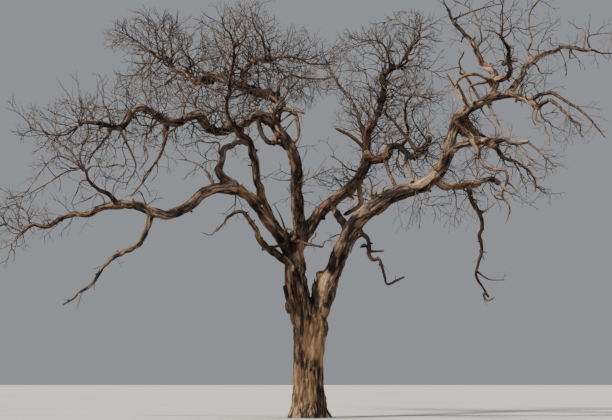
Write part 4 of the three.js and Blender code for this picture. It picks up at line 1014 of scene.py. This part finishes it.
# The masses of twigs, in the source's millimetres: what each grows from, its stem's thickness,
# rising 1 or hanging -1, how full, its centre, its reach and its stem's bends, the last three as
# (across, up, behind).
masses = {
  "farLeftTwigs": ("longLeftOuter", 85, 1, 1.0, (-8900, 5700, -500), (800, 760, 900),
   [(-8610, 5505, -600), (-8870, 5690, -520), (-9180, 5780, -420), (-9540, 5700, -300)]),
  "leftRiserTwigs": ("longLeftOuter", 240, 1, 1.0, (-6900, 7500, -2300), (1250, 960, 1200),
   [(-5720, 6430, -1790), (-5970, 6690, -2000), (-6300, 6810, -2200), (-6570, 7110, -2300),
   (-6720, 7410, -2400), (-7150, 7450, -2500)]),
  "midLeftTwigs": ("midLeftTip", 88, 1, 1.0, (-7450, 8950, -4200), (1500, 1050, 1400),
   [(-6930, 8700, -4300), (-7350, 8420, -4350), (-7760, 8450, -4300), (-8350, 8700, -4250)]),
  "midLeftHang": ("midLeftOuter", 150, -1, 1.0, (-4500, 7800, -2300), (700, 1150, 800),
   [(-4140, 8800, -2120), (-4300, 8280, -2250), (-4470, 7800, -2300), (-4770, 7350, -2300),
   (-5010, 6950, -2350)]),
  "highLeftTwigs": ("highLeftOuter", 108, 1, 1.5, (-5100, 11150, 3200), (1250, 1100, 1300),
   [(-4770, 10950, 3000), (-5010, 11180, 3100), (-5280, 11400, 3200), (-5800, 11600, 3350)]),
  "highLeftFan": ("highLeftOuter", 150, 1, 1.0, (-3650, 11250, 2300), (950, 900, 1300),
   [(-4100, 10480, 2420), (-4110, 11040, 2350), (-4170, 11460, 2300), (-3900, 11850, 2200)]),
  "innerClump": ("midLeft", 130, 1, 1.0, (-3800, 9600, -900), (1150, 720, 1100),
   [(-3330, 9110, -1270), (-3390, 9500, -1150), (-3270, 9750, -1050), (-3600, 9950, -950)]),
  "topLeftTwigs": ("leftCentreTop", 108, 1, 1.0, (-2350, 11500, -3400), (1150, 800, 1300),
   [(-2200, 11160, -3200), (-2300, 11450, -3300), (-2490, 11700, -3400), (-2600, 12050, -3500)]),
  "archRiserTwigs": ("archBough", 140, 1, 1.0, (-1400, 11700, 450), (1150, 900, 1250),
   [(-1230, 10700, 790), (-1260, 11040, 700), (-1440, 11430, 500), (-1650, 11850, 400),
   (-1750, 12300, 350)]),
  "archTwigs": ("archBough", 125, 1, 1.4, (-50, 10900, 250), (1250, 950, 1250),
   [(-960, 10740, 600), (-510, 10800, 450), (60, 10620, 300), (600, 10560, 150)]),
  "rightwardTwigs": ("highLeft", 190, -1, 1.8, (100, 9800, 2400), (1250, 850, 1300),
   [(-900, 9480, 1420), (-870, 10020, 1650), (-600, 10200, 1950), (-200, 10215, 2300),
   (300, 10110, 2600), (800, 10200, 2900)]),
  "prongTwigs": ("midRightUp", 260, 1, 1.0, (800, 10500, 4400), (1200, 950, 1300),
   [(1750, 8180, 2520), (1590, 8730, 3000), (1380, 9360, 3400), (1020, 9870, 3800),
   (780, 10215, 4200), (560, 10700, 4500)]),
  "upRightTwigs": ("midRightUp", 160, 1, 1.0, (3000, 11300, 3000), (1150, 900, 1300),
   [(2760, 10500, 3200), (2980, 10650, 3100), (2955, 10920, 3000), (3150, 11160, 2900),
   (3420, 11385, 2800), (3650, 11390, 2750)]),
  "upLeftTwigs": ("midRightUp", 140, 1, 1.0, (1700, 11150, 2700), (1050, 600, 1000),
   [(2480, 10420, 3200), (2430, 10830, 3050), (2220, 11220, 2900), (1950, 11290, 2750),
   (1590, 11270, 2600)]),
  "backTwigs": ("backBough", 115, 1, 1.0, (2300, 9900, 4850), (1500, 1150, 1000),
   [(1980, 8950, 4500), (2150, 9400, 4600), (2250, 9800, 4750), (2500, 10300, 4900),
   (2650, 10800, 5000)]),
  "riserTwigs": ("elbow", 180, 1, 1.0, (3500, 9650, 500), (950, 720, 1100), [(2780, 8070, 1180),
   (2940, 8310, 1100), (2985, 8610, 1000), (2895, 8940, 900), (2900, 9240, 700),
   (3180, 9660, 400), (3720, 9500, 300)]),
  "frontTwigs": ("frontBough", 108, 1, 1.0, (-700, 9700, -4700), (1450, 1250, 1000),
   [(-860, 8680, -4200), (-1050, 9000, -4400), (-920, 9350, -4550), (-640, 9700, -4700),
   (-560, 10200, -4850)]),
  "underRightTwigs": ("rightBough", 60, -1, 0.7, (3500, 6150, -1600), (1150, 620, 1100),
   [(3250, 6900, -1120), (3300, 6550, -1500), (3600, 6330, -1700), (4100, 6350, -1850)]),
  "spireTwigs": ("spire", 98, 1, 1.0, (4500, 12250, 1500), (1000, 620, 1000),
   [(4200, 12240, 1600), (4110, 12480, 1650), (4050, 12700, 1700)]),
  "crookTwigs": ("crook", 108, 1, 1.0, (5900, 12000, -2550), (950, 720, 1000),
   [(5760, 11490, -2400), (5830, 11740, -2500), (5820, 12100, -2600), (5760, 12600, -2700)]),
  "farRightTwigs": ("farRight", 118, 1, 1.0, (8850, 11150, 2500), (850, 780, 900),
   [(8460, 10980, 2300), (8790, 10920, 2450), (9180, 10890, 2550), (9560, 10920, 2650)]),
  "armHighTwigs": ("rightArm", 210, -1, 1.0, (8150, 9000, -2300), (900, 850, 800),
   [(6640, 9480, -1640), (6860, 9660, -1750), (7170, 9705, -1900), (7500, 9660, -2100),
   (7800, 9435, -2200), (8130, 9255, -2300), (8400, 8970, -2400), (8900, 8380, -2500)]),
  "armLowTwigs": ("rightArm", 220, -1, 1.0, (7600, 8750, -3100), (900, 800, 800),
   [(6900, 9270, -1900), (7080, 9440, -2100), (7290, 9500, -2350), (7500, 9370, -2600),
   (7680, 9135, -2900), (7920, 8940, -3200), (8130, 8760, -3400), (8250, 8430, -3600)]),
  "rightMidTwigs": ("rightMid", 108, -1, 1.0, (7050, 7850, -3800), (750, 650, 800),
   [(6600, 8250, -3600), (6810, 8010, -3700), (7150, 7740, -3850), (7440, 7500, -3950)]),
}


def wayOut(space, start, heading):
    # how far it is from a place to the outside of a round space
    centre, reach = space
    way = Vector((heading[i] / reach[i] for i in range(3)))
    at = Vector(((start[i] - centre[i]) / reach[i] for i in range(3)))
    a, b, c = way.dot(way), at.dot(way), at.dot(at) - 1
    inside = b * b - a * c
    return 0 if inside <= 0 else (math.sqrt(inside) - b) / a


covered = {}


def mayCover(spot):
    may = crownFill["elsewhere"]
    edge, fade = crownFill["edge"]
    for across, up, wide, tall, share in crownFill["areas"]:
        out = math.hypot((spot[0] - across) / wide, (spot[1] - up) / tall)
        may = max(may, share * min(1, max(0, (edge - out) / fade)))
    for across, up, wide, tall, share in crownFill["gaps"]:
        if math.hypot((spot[0] - across) / wide, (spot[1] - up) / tall) < 1:
            may = min(may, share)
    return may


def cellsAt(point):
    spot = sketched(point)
    cell = (math.floor(spot.x / crownFill["cell"]), math.floor(spot.y / crownFill["cell"]))
    return cell, (*cell, math.floor(point.y / crownFill["layer"]))


def fillAt(point):
    # 1 where the twigs cover as much of the sky as they may, in all or in this layer
    cell, layer = cellsAt(point)
    size = crownFill["cell"]
    full = size * size * mayCover([(c + 0.5) * size / seen["step"] for c in cell])
    inLayer = covered.get(layer, 0) / (full * crownFill["layerShare"])
    return max(covered.get(cell, 0) / full, inLayer)


def cover(start, end, thick):
    seenLength = (sketched(end) - sketched(start)).length
    for cell in cellsAt((start + end) / 2):
        covered[cell] = covered.get(cell, 0) + seenLength * thick


def kinked(start, way, length, level, lean, allowed, rng):
    count = max(2, round(length / twigRule["joint"][level]))
    route = [start]
    for i in range(count):
        kink = Vector(rng.uniform(-0.5, 0.5) for _ in range(3)) * twigRule["kink"][level]
        way = (way + kink + lean * twigRule["lean"]).normalized()
        there = route[-1] + way * (length / count)
        full = i > 0 and fillAt(there) > twigRule["filled"][level]
        if full or not allowed(there):
            break
        route.append(there)
    return route


def turned(onward, side, angle):
    side = side - onward * side.dot(onward)
    if side.length < 0.001:
        side = onward.orthogonal()
    return onward * math.cos(angle) + side.normalized() * math.sin(angle)


def sideOf(onward, turn):
    side = Vector((0.1, 0.2, 1)).cross(onward).normalized()
    side.rotate(Matrix.Rotation(turn, 3, onward))
    return side


def growTwigs(buds, allowed, rng):
    # all the twigs of one level grow before any of the next, so that none takes all the room
    grown = []
    shorter, most = twigRule["later"]
    for level, thick in enumerate(twigRule["thick"]):
        rng.shuffle(buds)
        later = []
        for bud in buds:
            start, way = bud["start"], bud["way"]
            length = wayOut(bud["space"], start, way) * twigRule["share"][level]
            length = min(length * rng.uniform(*twigRule["lengths"]),
                         bud["longest"] * rng.uniform(*twigRule["longest"]))
            if length < twigRule["least"] * (1 - twigRule["leastFalls"] * level):
                continue
            route = kinked(start, way, length, level, bud["lean"], allowed, rng)
            if len(route) < 3:
                continue
            count = len(route) - 1
            first = thick * bud["size"] * rng.uniform(*twigRule["uneven"])
            radii = [first / 2 * (1 - (1 - twigRule["thin"]) * i / count) for i in range(count + 1)]
            grown.append((bud["owner"], (route, radii, bud["tone"])))
            for i, (a, b) in enumerate(zip(route, route[1:])):
                cover(a, b, radii[i] * 2)
            for i in range(1, count):
                if rng.random() > twigRule["bearing"][level]:
                    continue
                before = (route[i] - route[i - 1]).normalized()
                after = (route[i + 1] - route[i]).normalized()
                side = before - after
                side += sideOf(after, rng.uniform(0, 2 * math.pi)) * twigRule["aside"]
                onward = turned(after, side, twigRule["angle"] * rng.uniform(*twigRule["spread"]))
                later.append({**bud, "start": route[i], "way": onward,
                              "longest": length * (1 - shorter * i / count) * most})
        buds = later
        print("twigs of level", level, "grown, in all", len(grown))
    return grown


def newBud(start, onward, turn, spread, rises, rng, **more):
    side = sideOf(onward, turn + rng.random())
    lean = rises * (twigRule["hang"] if rises < twigRule["hangs"] else 1)
    return {"start": start, "lean": Vector((0, 0, lean)),
            "way": turned(onward, side, twigRule["angle"] * rng.uniform(*spread)),
            "tone": rng.randrange(twigRule["sprayTones"]), **more}


def budsOnStem(name, stem, count, space, rises, rng):
    points = stem["points"]
    low, high = twigRule["onStem"]
    size, spread = twigRule["stemSizes"][rises < 0], twigRule["stemSpread"]
    buds = []
    for i in range(count):
        at = min(len(points) - 2, int((high - (high - low) * i / count) * (len(points) - 1)))
        onward = Vector(points[at + 1] - points[at]).normalized()
        buds.append(newBud(Vector(points[at]), onward, i * twigRule["turn"], spread, rises, rng,
                           owner=name, space=space, size=size, longest=twigRule["stemLongest"]))
    return buds


def budsAlong(form, perMetre, low, reach, rises, rng):
    # each twig keeps to a space round the place where it leaves the limb
    points, along = form["points"], form["along"]
    count = int(along[-1] * (1 - low) * perMetre + rng.random())
    onwards, upwards = twigRule["limbMiddle"]
    least, more = twigRule["limbSizes"]
    buds = []
    for i in range(count):
        share = low + (1 - low) * (i + rng.random()) / count
        at = min(len(points) - 2, int(share * (len(points) - 1)))
        onward = Vector(points[at + 1] - points[at]).normalized()
        size = reach * rng.uniform(*twigRule["limbReach"])
        middle = Vector(points[at]) + onward * size * onwards
        middle += Vector((0, 0, rises * size * upwards))
        thick = twigRule["hangingSize"] if rises < twigRule["hangs"] else least + more * size
        buds.append(newBud(Vector(points[at]), onward, i * twigRule["turn"], twigRule["spread"],
                           rises, rng, owner="limbs", space=(middle, Vector((size,) * 3)),
                           size=thick, longest=twigRule["limbLongest"]))
    return buds


def routesMesh(name, routes):
    # separate chains of edges, with each corner's radius and its spray's tone
    corners, edges, radii, tones = [], [], [], []
    for points, thick, tone in routes:
        base = len(corners)
        corners.extend(points)
        edges.extend((base + i, base + i + 1) for i in range(len(points) - 1))
        radii.extend(thick)
        tones.extend([tone] * len(points))
    made = meshObject(name, corners, (), edges)
    made.data.attributes.new("thick", "FLOAT", "POINT").data.foreach_set("value", radii)
    made.data.attributes.new("tone", "INT", "POINT").data.foreach_set("value", tones)
    return made


def tubeGroup(name, tones):
    # tubes along the chains, a little lumpy, with a material for each tone
    labels = [("Sides", "Int", 3), ("Lump Size", "Float", 0.0), ("Lump Height", "Float", 0.0)]
    labels += [("Material %d" % i, "Material", None) for i in range(tones)]
    group, start, end = openGroup(name, labels)
    nodes, given = group.nodes, start.outputs
    curve = addNode(nodes, "GeometryNodeMeshToCurve", {"Mesh": given["Geometry"]}).outputs[0]
    ring = addNode(nodes, "GeometryNodeCurvePrimitiveCircle",
                   {"Resolution": given["Sides"], "Radius": 1.0}).outputs[0]
    tube = addNode(nodes, "GeometryNodeCurveToMesh",
                   {"Curve": curve, "Profile Curve": ring, "Scale": named(nodes, "thick"),
                    "Fill Caps": True}).outputs[0]
    lumps = mathNode(nodes, "SUBTRACT", noiseNode(nodes, given["Lump Size"], 2.0), 0.5)
    high = mathNode(nodes, "MULTIPLY", named(nodes, "thick"), given["Lump Height"])
    made = raised(nodes, tube, mathNode(nodes, "MULTIPLY", lumps, high))
    where = nodes.new("GeometryNodeInputPosition").outputs[0]
    made = store(nodes, made, "barkAt", where, "FLOAT_VECTOR")
    for label, size in (("relief", 16.0), ("patch", 1.7)):
        made = store(nodes, made, label, noiseNode(nodes, size, 3.0))
    for i in range(tones):
        same = addNode(nodes, "FunctionNodeCompare", {2: named(nodes, "tone", "INT"), 3: i},
                       data_type="INT", operation="EQUAL").outputs[0]
        made = addNode(nodes, "GeometryNodeSetMaterial",
                       {"Geometry": made, "Selection": same,
                        "Material": given["Material %d" % i]}).outputs[0]
    group.links.new(made, end.inputs[0])
    return group


def tubePiece(name, routes, group, materials, values=None):
    made = routesMesh(name + "Lines", routes)
    tones = {"Material %d" % i: material for i, material in enumerate(materials)}
    useGroup(made, group, {**tones, **(values or {})})
    done = plain(made, name)
    dropLayers(done, ("thick", "tone"))
    done.data.shade_smooth()
    print(name, len(routes), "routes,", triangles(done), "triangles")
    return done


# Finishes, as base colours
finishes = {
  # furrow is partly the bark's own dark and partly painted shade in the furrows
  "furrow": (0.017, 0.012, 0.010), "barkMid": (0.112, 0.073, 0.050), "ridge": (0.38, 0.242, 0.143),
  # shade and deadShade darken painted shade on undersides and shadowed limbs, and dark weathered
  # wood; the char colour is charred bark and also painted shadow
  "charAndShadow": (0.012, 0.010, 0.010), "shade": (0.47, 0.40, 0.38), "deadShade": (0.28, 0.22, 0.21),
  # upper greys the higher boughs, as their bark is, and gives them a painted blue of sky light
  "lesser": (0.60, 0.55, 0.56), "upper": (0.93, 0.99, 1.14),
  "bareDark": (0.15, 0.080, 0.045), "barePale": (0.42, 0.275, 0.155),
  "deadDark": (0.075, 0.048, 0.033), "deadPale": (0.34, 0.218, 0.140),
  "twigs": [(0.042, 0.032, 0.030), (0.080, 0.060, 0.054), (0.145, 0.106, 0.084)],
  "floor": [(0.42, 0.42, 0.41), (0.46, 0.46, 0.45)],
  # the boughs' tint is greyer bark and painted blue sky light
  "upperFrom": (2.6, 4.8),  # metres up at which the boughs' tint begins and is full
}


def openMaterial(name):
    made = bpy.data.materials.new(name)
    made.use_nodes = True
    nodes = made.node_tree.nodes
    shader = next(n for n in nodes if n.type == "BSDF_PRINCIPLED")
    shader.inputs["Specular IOR Level"].default_value = 0.1
    where = nodes.new("ShaderNodeTexCoord").outputs["Object"]
    return made, nodes, shader, where


def closeMaterial(made, shader, base, roughness, bump=None):
    nodes, links = made.node_tree.nodes, made.node_tree.links
    links.new(base, shader.inputs["Base Color"])
    shader.inputs["Roughness"].default_value = roughness
    if bump:
        height, strength, distance = bump
        bumped = addNode(nodes, "ShaderNodeBump",
                         {"Height": height, "Strength": strength, "Distance": distance})
        links.new(bumped.outputs[0], shader.inputs["Normal"])
    return made


def colourSteps(nodes, factor, steps):
    ramp = nodes.new("ShaderNodeValToRGB")
    nodes.id_data.links.new(factor, ramp.inputs[0])
    stops = ramp.color_ramp.elements
    while len(stops) < len(steps):
        stops.new(0.5)
    for stop, (at, colour) in zip(stops, steps):
        stop.position, stop.color = at, (*colour, 1)
    return ramp.outputs[0]


def mixColour(nodes, factor, a, b, kind="MIX"):
    return addNode(nodes, "ShaderNodeMix", {0: factor, 6: a, 7: b}, data_type="RGBA",
                   blend_type=kind).outputs[2]


def tinted(nodes, factor, base, tint):
    full = mixColour(nodes, 1.0, base, (*tint, 1), "MULTIPLY")
    return mixColour(nodes, factor, base, full)


def layerOf(nodes, label, output="Fac"):
    layer = nodes.new("ShaderNodeAttribute")
    layer.attribute_name = label
    return layer.outputs[output]


def barkFinish(name, tint):
    made, nodes, shader, where = openMaterial(name)

    def swing(factor, by):
        return mathNode(nodes, "MULTIPLY", mathNode(nodes, "SUBTRACT", factor, 0.5), by)

    drawn = addNode(nodes, "ShaderNodeMapping",
                    {"Vector": layerOf(nodes, "barkAt", "Vector"), "Scale": (1.0, 1.0, 0.16)})
    grain = noiseNode(nodes, 24.0, 6.0, 0.72, drawn.outputs[0])
    grain = mapRange(nodes, grain, 0.36, 0.64)
    relief, patch = layerOf(nodes, "relief"), layerOf(nodes, "patch")

    def ragged(label, low, high):
        # a mark with a broken edge
        edge = mathNode(nodes, "ADD", layerOf(nodes, label), swing(patch, 2.2))
        edge = mathNode(nodes, "ADD", edge, swing(relief, -0.5))
        return mapRange(nodes, mathNode(nodes, "ADD", edge, swing(grain, 0.4)), low, high)

    height = mathNode(nodes, "ADD", relief, swing(grain, 0.6))
    height = mathNode(nodes, "ADD", height, swing(patch, 1.0))
    # dark in the furrows, pale on the ridges: partly the bark's own colour, partly painted shade in
    # the furrows
    base = colourSteps(nodes, height, [(0.12, finishes["furrow"]), (0.5, finishes["barkMid"]),
                                       (0.95, finishes["ridge"])])
    smooth = colourSteps(nodes, height, [(0.15, finishes["bareDark"]), (0.8, finishes["barePale"])])
    base = mixColour(nodes, ragged("bare", 0.45, 0.85), base, smooth)
    base = mixColour(nodes, 1.0, base, (*tint, 1), "MULTIPLY")
    up = addNode(nodes, "ShaderNodeSeparateXYZ", {0: where}).outputs[2]
    # higher up the boughs turn greyer, their own bark, and bluer, painted sky light
    base = tinted(nodes, mapRange(nodes, up, *finishes["upperFrom"]), base, finishes["upper"])
    # painted shade: the dark layer darkens undersides and limbs in shadow, and also dark weathered
    # bark
    base = tinted(nodes, ragged("dark", 0.25, 0.75), base, finishes["shade"])
    scorch = mapRange(nodes, patch, 0.40, 0.33, (0.0, 0.75))
    # the char marks are charred bark, and painted shadow on some limb undersides
    charAndShadowMarks = mathNode(nodes, "MULTIPLY", ragged("charAndShadow", 0.45, 0.85), 0.88)
    scorch = mathNode(nodes, "MAXIMUM", scorch, charAndShadowMarks)
    base = mixColour(nodes, scorch, base, (*finishes["charAndShadow"], 1))
    return closeMaterial(made, shader, base, 0.93, (grain, 0.7, 0.015))


def deadwoodFinish():
    made, nodes, shader, where = openMaterial("deadwood")
    streak = mathNode(nodes, "MULTIPLY", noiseNode(nodes, 26.0, 5.0, 0.7, where), 0.6)
    both = mathNode(nodes, "MULTIPLY", layerOf(nodes, "relief"), 0.4)
    both = mathNode(nodes, "ADD", streak, both)
    # darker where streaks and relief are low: partly the wood's own grain, partly painted shade in
    # the cracks
    base = colourSteps(nodes, both, [(0.28, finishes["furrow"]), (0.42, finishes["deadDark"]),
                                     (0.66, finishes["deadPale"])])
    # painted shade: the dark layer darkens undersides and limbs in shadow, and also dark weathered
    # wood
    base = tinted(nodes, layerOf(nodes, "dark"), base, finishes["deadShade"])
    # the char marks are charred bark, and painted shadow on some limb undersides
    for label, strength, colour in (("bare", 0.35, "barePale"), ("charAndShadow", 0.85, "charAndShadow")):
        mark = mathNode(nodes, "MULTIPLY", layerOf(nodes, label), strength, use_clamp=True)
        base = mixColour(nodes, mark, base, (*finishes[colour], 1))
    return closeMaterial(made, shader, base, 0.82, (both, 0.5, 0.008))


def twigFinish(index, colour):
    made, nodes, shader, where = openMaterial("twigTone%d" % index)
    dark, pale = (tuple(c * by for c in colour) for by in (0.62, 1.35))
    base = colourSteps(nodes, noiseNode(nodes, 16.0, 3.0, 0.6, where),
                       [(0.3, dark), (0.5, colour), (0.72, pale)])
    return closeMaterial(made, shader, base, 0.88)


def floorFinish():
    made, nodes, shader, where = openMaterial("paleFloor")
    steps = zip((0.3, 0.7), finishes["floor"])
    base = colourSteps(nodes, noiseNode(nodes, 0.3, 2.0, where=where), list(steps))
    return closeMaterial(made, shader, base, 0.9)


# Wood
limbs = makeLimbs()
print("limbs:", len(limbs))
barkWood, deadwood = barkFinish("fissuredBark", (1, 1, 1)), deadwoodFinish()
lesserBark = barkFinish("lesserBark", finishes["lesser"])
twigTones = [twigFinish(i, colour) for i, colour in enumerate(finishes["twigs"])]
barkTree = barkGroup()

# Each piece of wood is grown together from the limbs named here: (limbs, voxel size)
woodPieces = {
  "trunkAndStems": (["trunk", "leftStem", "rightStem", "leftArm", "centreBough", "midRight"],
                    0.0252),
  "leftBoughs": (["longLeft", "longLeftOuter", "longLeftDrop", "leftLoop", "droopLeft",
                  "leftCentre", "leftCentreTop"], 0.018),
  "highBoughs": (["highLeft", "highLeftOuter", "midLeft", "midLeftOuter", "midLeftTip",
                  "archBough", "frontBough", "backBough"], 0.0198),
  "rightBoughs": (["midRightUp", "elbow", "rightBough", "rightUp", "rightArm", "spire", "crook",
                   "farRight", "rightMid", "rightBack", "rightLow"], 0.0215),
  "bareSnags": (["hook", "hookDrop", "hanging", "lowSnag"], 0.016),
}
rng = random.Random(23)
for name, (members, voxel) in woodPieces.items():
    shells = [trunkShell() if key == "trunk" else tubeShell(limbs[key], tree["sides"])
              for key in members]
    if "trunk" in members:
        shells += forkShells()
    for key in members:
        if key not in stubs["without"]:
            shells += stubShells(limbs[key], rng)
    dead = name == "bareSnags"
    piece = woodPiece(name, shells, [limbs[key] for key in members], voxel,
                      deadwood if dead else barkWood, barkTree)
    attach(piece, "root")
    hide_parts(*members)


boxLow, boxHigh = (Vector(corner) for corner in cadBox)


def inBox(point, margin=0.03):
    return all(boxLow[i] + margin < point[i] < boxHigh[i] - margin for i in range(3))


# Stems of the masses, then side limbs: the sketched ones and those that grow by rule
rng = random.Random(41)
stems = {}
for name, (parent, thick, _, _, _, _, bends) in masses.items():
    stem = makeLimb(name, limbs[parent], [thick * share for share in twigRule["stem"]], bends)
    stems[name] = {**stem, "slot": "bark"}
allLimbs = {**limbs, **stems}
sideForms = {slot: [growSideLimb(allLimbs[parent], (start, end), bends, drift, rng)
                    for parent, start, end, drift, bends in sideLimbs[slot]]
             for slot in ("bark", "deadwood")}
lesser = growLesserLimbs(limbs, inBox, rng)
ruled = lesser + list(stems.values())
stoutTubes = tubeGroup("sideLimbTubes", 2)
tubeValues = {"Sides": sideLimbs["sides"], "Lump Size": 14.0, "Lump Height": 0.7}
for slot, materials in (("bark", [barkWood, lesserBark]), ("deadwood", [deadwood, deadwood])):
    routes = [(form["points"], form["radii"], 0) for form in sideForms[slot]]
    routes += [(form["points"], form["radii"], 1) for form in ruled if form["slot"] == slot]
    piece = tubePiece(slot + "SideLimbs", routes, stoutTubes, materials, tubeValues)
    markPlaces(piece)
    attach(piece, "root")

# Twigs: those of the masses first, then those along the limbs
rng = random.Random(7)
buds = []
for name, (_, _, rises, fullness, centre, reach, _) in masses.items():
    centre = place(*(v / 1000 for v in centre))
    reach = Vector((reach[0], reach[2], reach[1])) / 1000 * twigRule["beyond"]
    buds += budsOnStem(name, stems[name], int(twigRule["first"] * fullness), (centre, reach),
                       rises, rng)
for name, settings in twigged.items():
    buds += budsAlong(allLimbs[name], *settings, rng)
times, low, reach = twigRule["onSideLimb"]
for form in sideForms["bark"] + [form for form in lesser if form["slot"] == "bark"]:
    perMetre, _, _, rises = twigged[form["parent"]]
    buds += budsAlong(form, perMetre * times, low, reach, rises, rng)
for form in sideForms["deadwood"] + [form for form in lesser if form["slot"] == "deadwood"]:
    buds += budsAlong(form, *twigRule["onDeadwood"], 0, rng)
print("buds:", len(buds))
for form in sideForms["bark"] + sideForms["deadwood"] + ruled:
    for a, b, radius in zip(form["points"], form["points"][1:], form["radii"]):
        cover(Vector(a), Vector(b), radius)
grownBy = {name: [] for name in (*masses, "limbs")}
for owner, route in growTwigs(buds, inBox, rng):
    grownBy[owner].append(route)
onLimbs = grownBy.pop("limbs")
inMasses = [route for routes in grownBy.values() for route in routes]
fineTubes = tubeGroup("twigTubes", twigRule["sprayTones"])
for name, routes, nodes in (("crownTwigs1", inMasses, list(masses)), ("limbTwigs1", onLimbs, [])):
    piece = tubePiece(name, routes, fineTubes, twigTones)
    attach(piece, "root")
    if nodes:
        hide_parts(*nodes)

# Floor, light and camera
studio = {
  "floor": (-60, 60, -60, 90, -0.004), "world": 0.34, "sky": (0.86, 0.90, 0.96),
  # strength, direction and height in degrees, colour and how wide the light is in degrees
  "suns": {"key": (8.5, -54, 46, (1, 0.93, 0.82), 9), "fill": (0.1, 60, 20, (0.85, 0.92, 1), 40)},
  "lens": 98.04, "sensor": 36, "aside": -0.06, "farthest": 300,
}
left, right, front, back, level = studio["floor"]
floor = meshObject("floor", [(left, front, level), (right, front, level), (right, back, level),
                             (left, back, level)], [(0, 1, 2, 3)])
floor.data.materials.append(floorFinish())

world = bpy.data.worlds.new("studio")
world.use_nodes = True
bpy.context.scene.world = world
background = world.node_tree.nodes["Background"]
background.inputs[0].default_value = (*studio["sky"], 1)
background.inputs[1].default_value = studio["world"]

for name, (strength, azimuth, elevation, colour, width) in studio["suns"].items():
    light = bpy.data.lights.new(name, "SUN")
    light.energy, light.color, light.angle = strength, colour, math.radians(width)
    made = bpy.data.objects.new(name, light)
    bpy.context.scene.collection.objects.link(made)
    a, e = math.radians(azimuth), math.radians(elevation)
    towards = Vector((math.sin(a) * math.cos(e), -math.cos(a) * math.cos(e), math.sin(e)))
    made.rotation_euler = towards.to_track_quat("Z", "Y").to_euler()

camera = bpy.data.cameras.new("camera")
camera.lens, camera.sensor_width = studio["lens"], studio["sensor"]
camera.clip_end = studio["farthest"]
cameraObject = bpy.data.objects.new("camera", camera)
cameraObject.location = (studio["aside"], -seen["from"], seen["eye"])
cameraObject.rotation_euler = (math.pi / 2 + tilt, 0, 0)
bpy.context.scene.collection.objects.link(cameraObject)
bpy.context.scene.camera = cameraObject
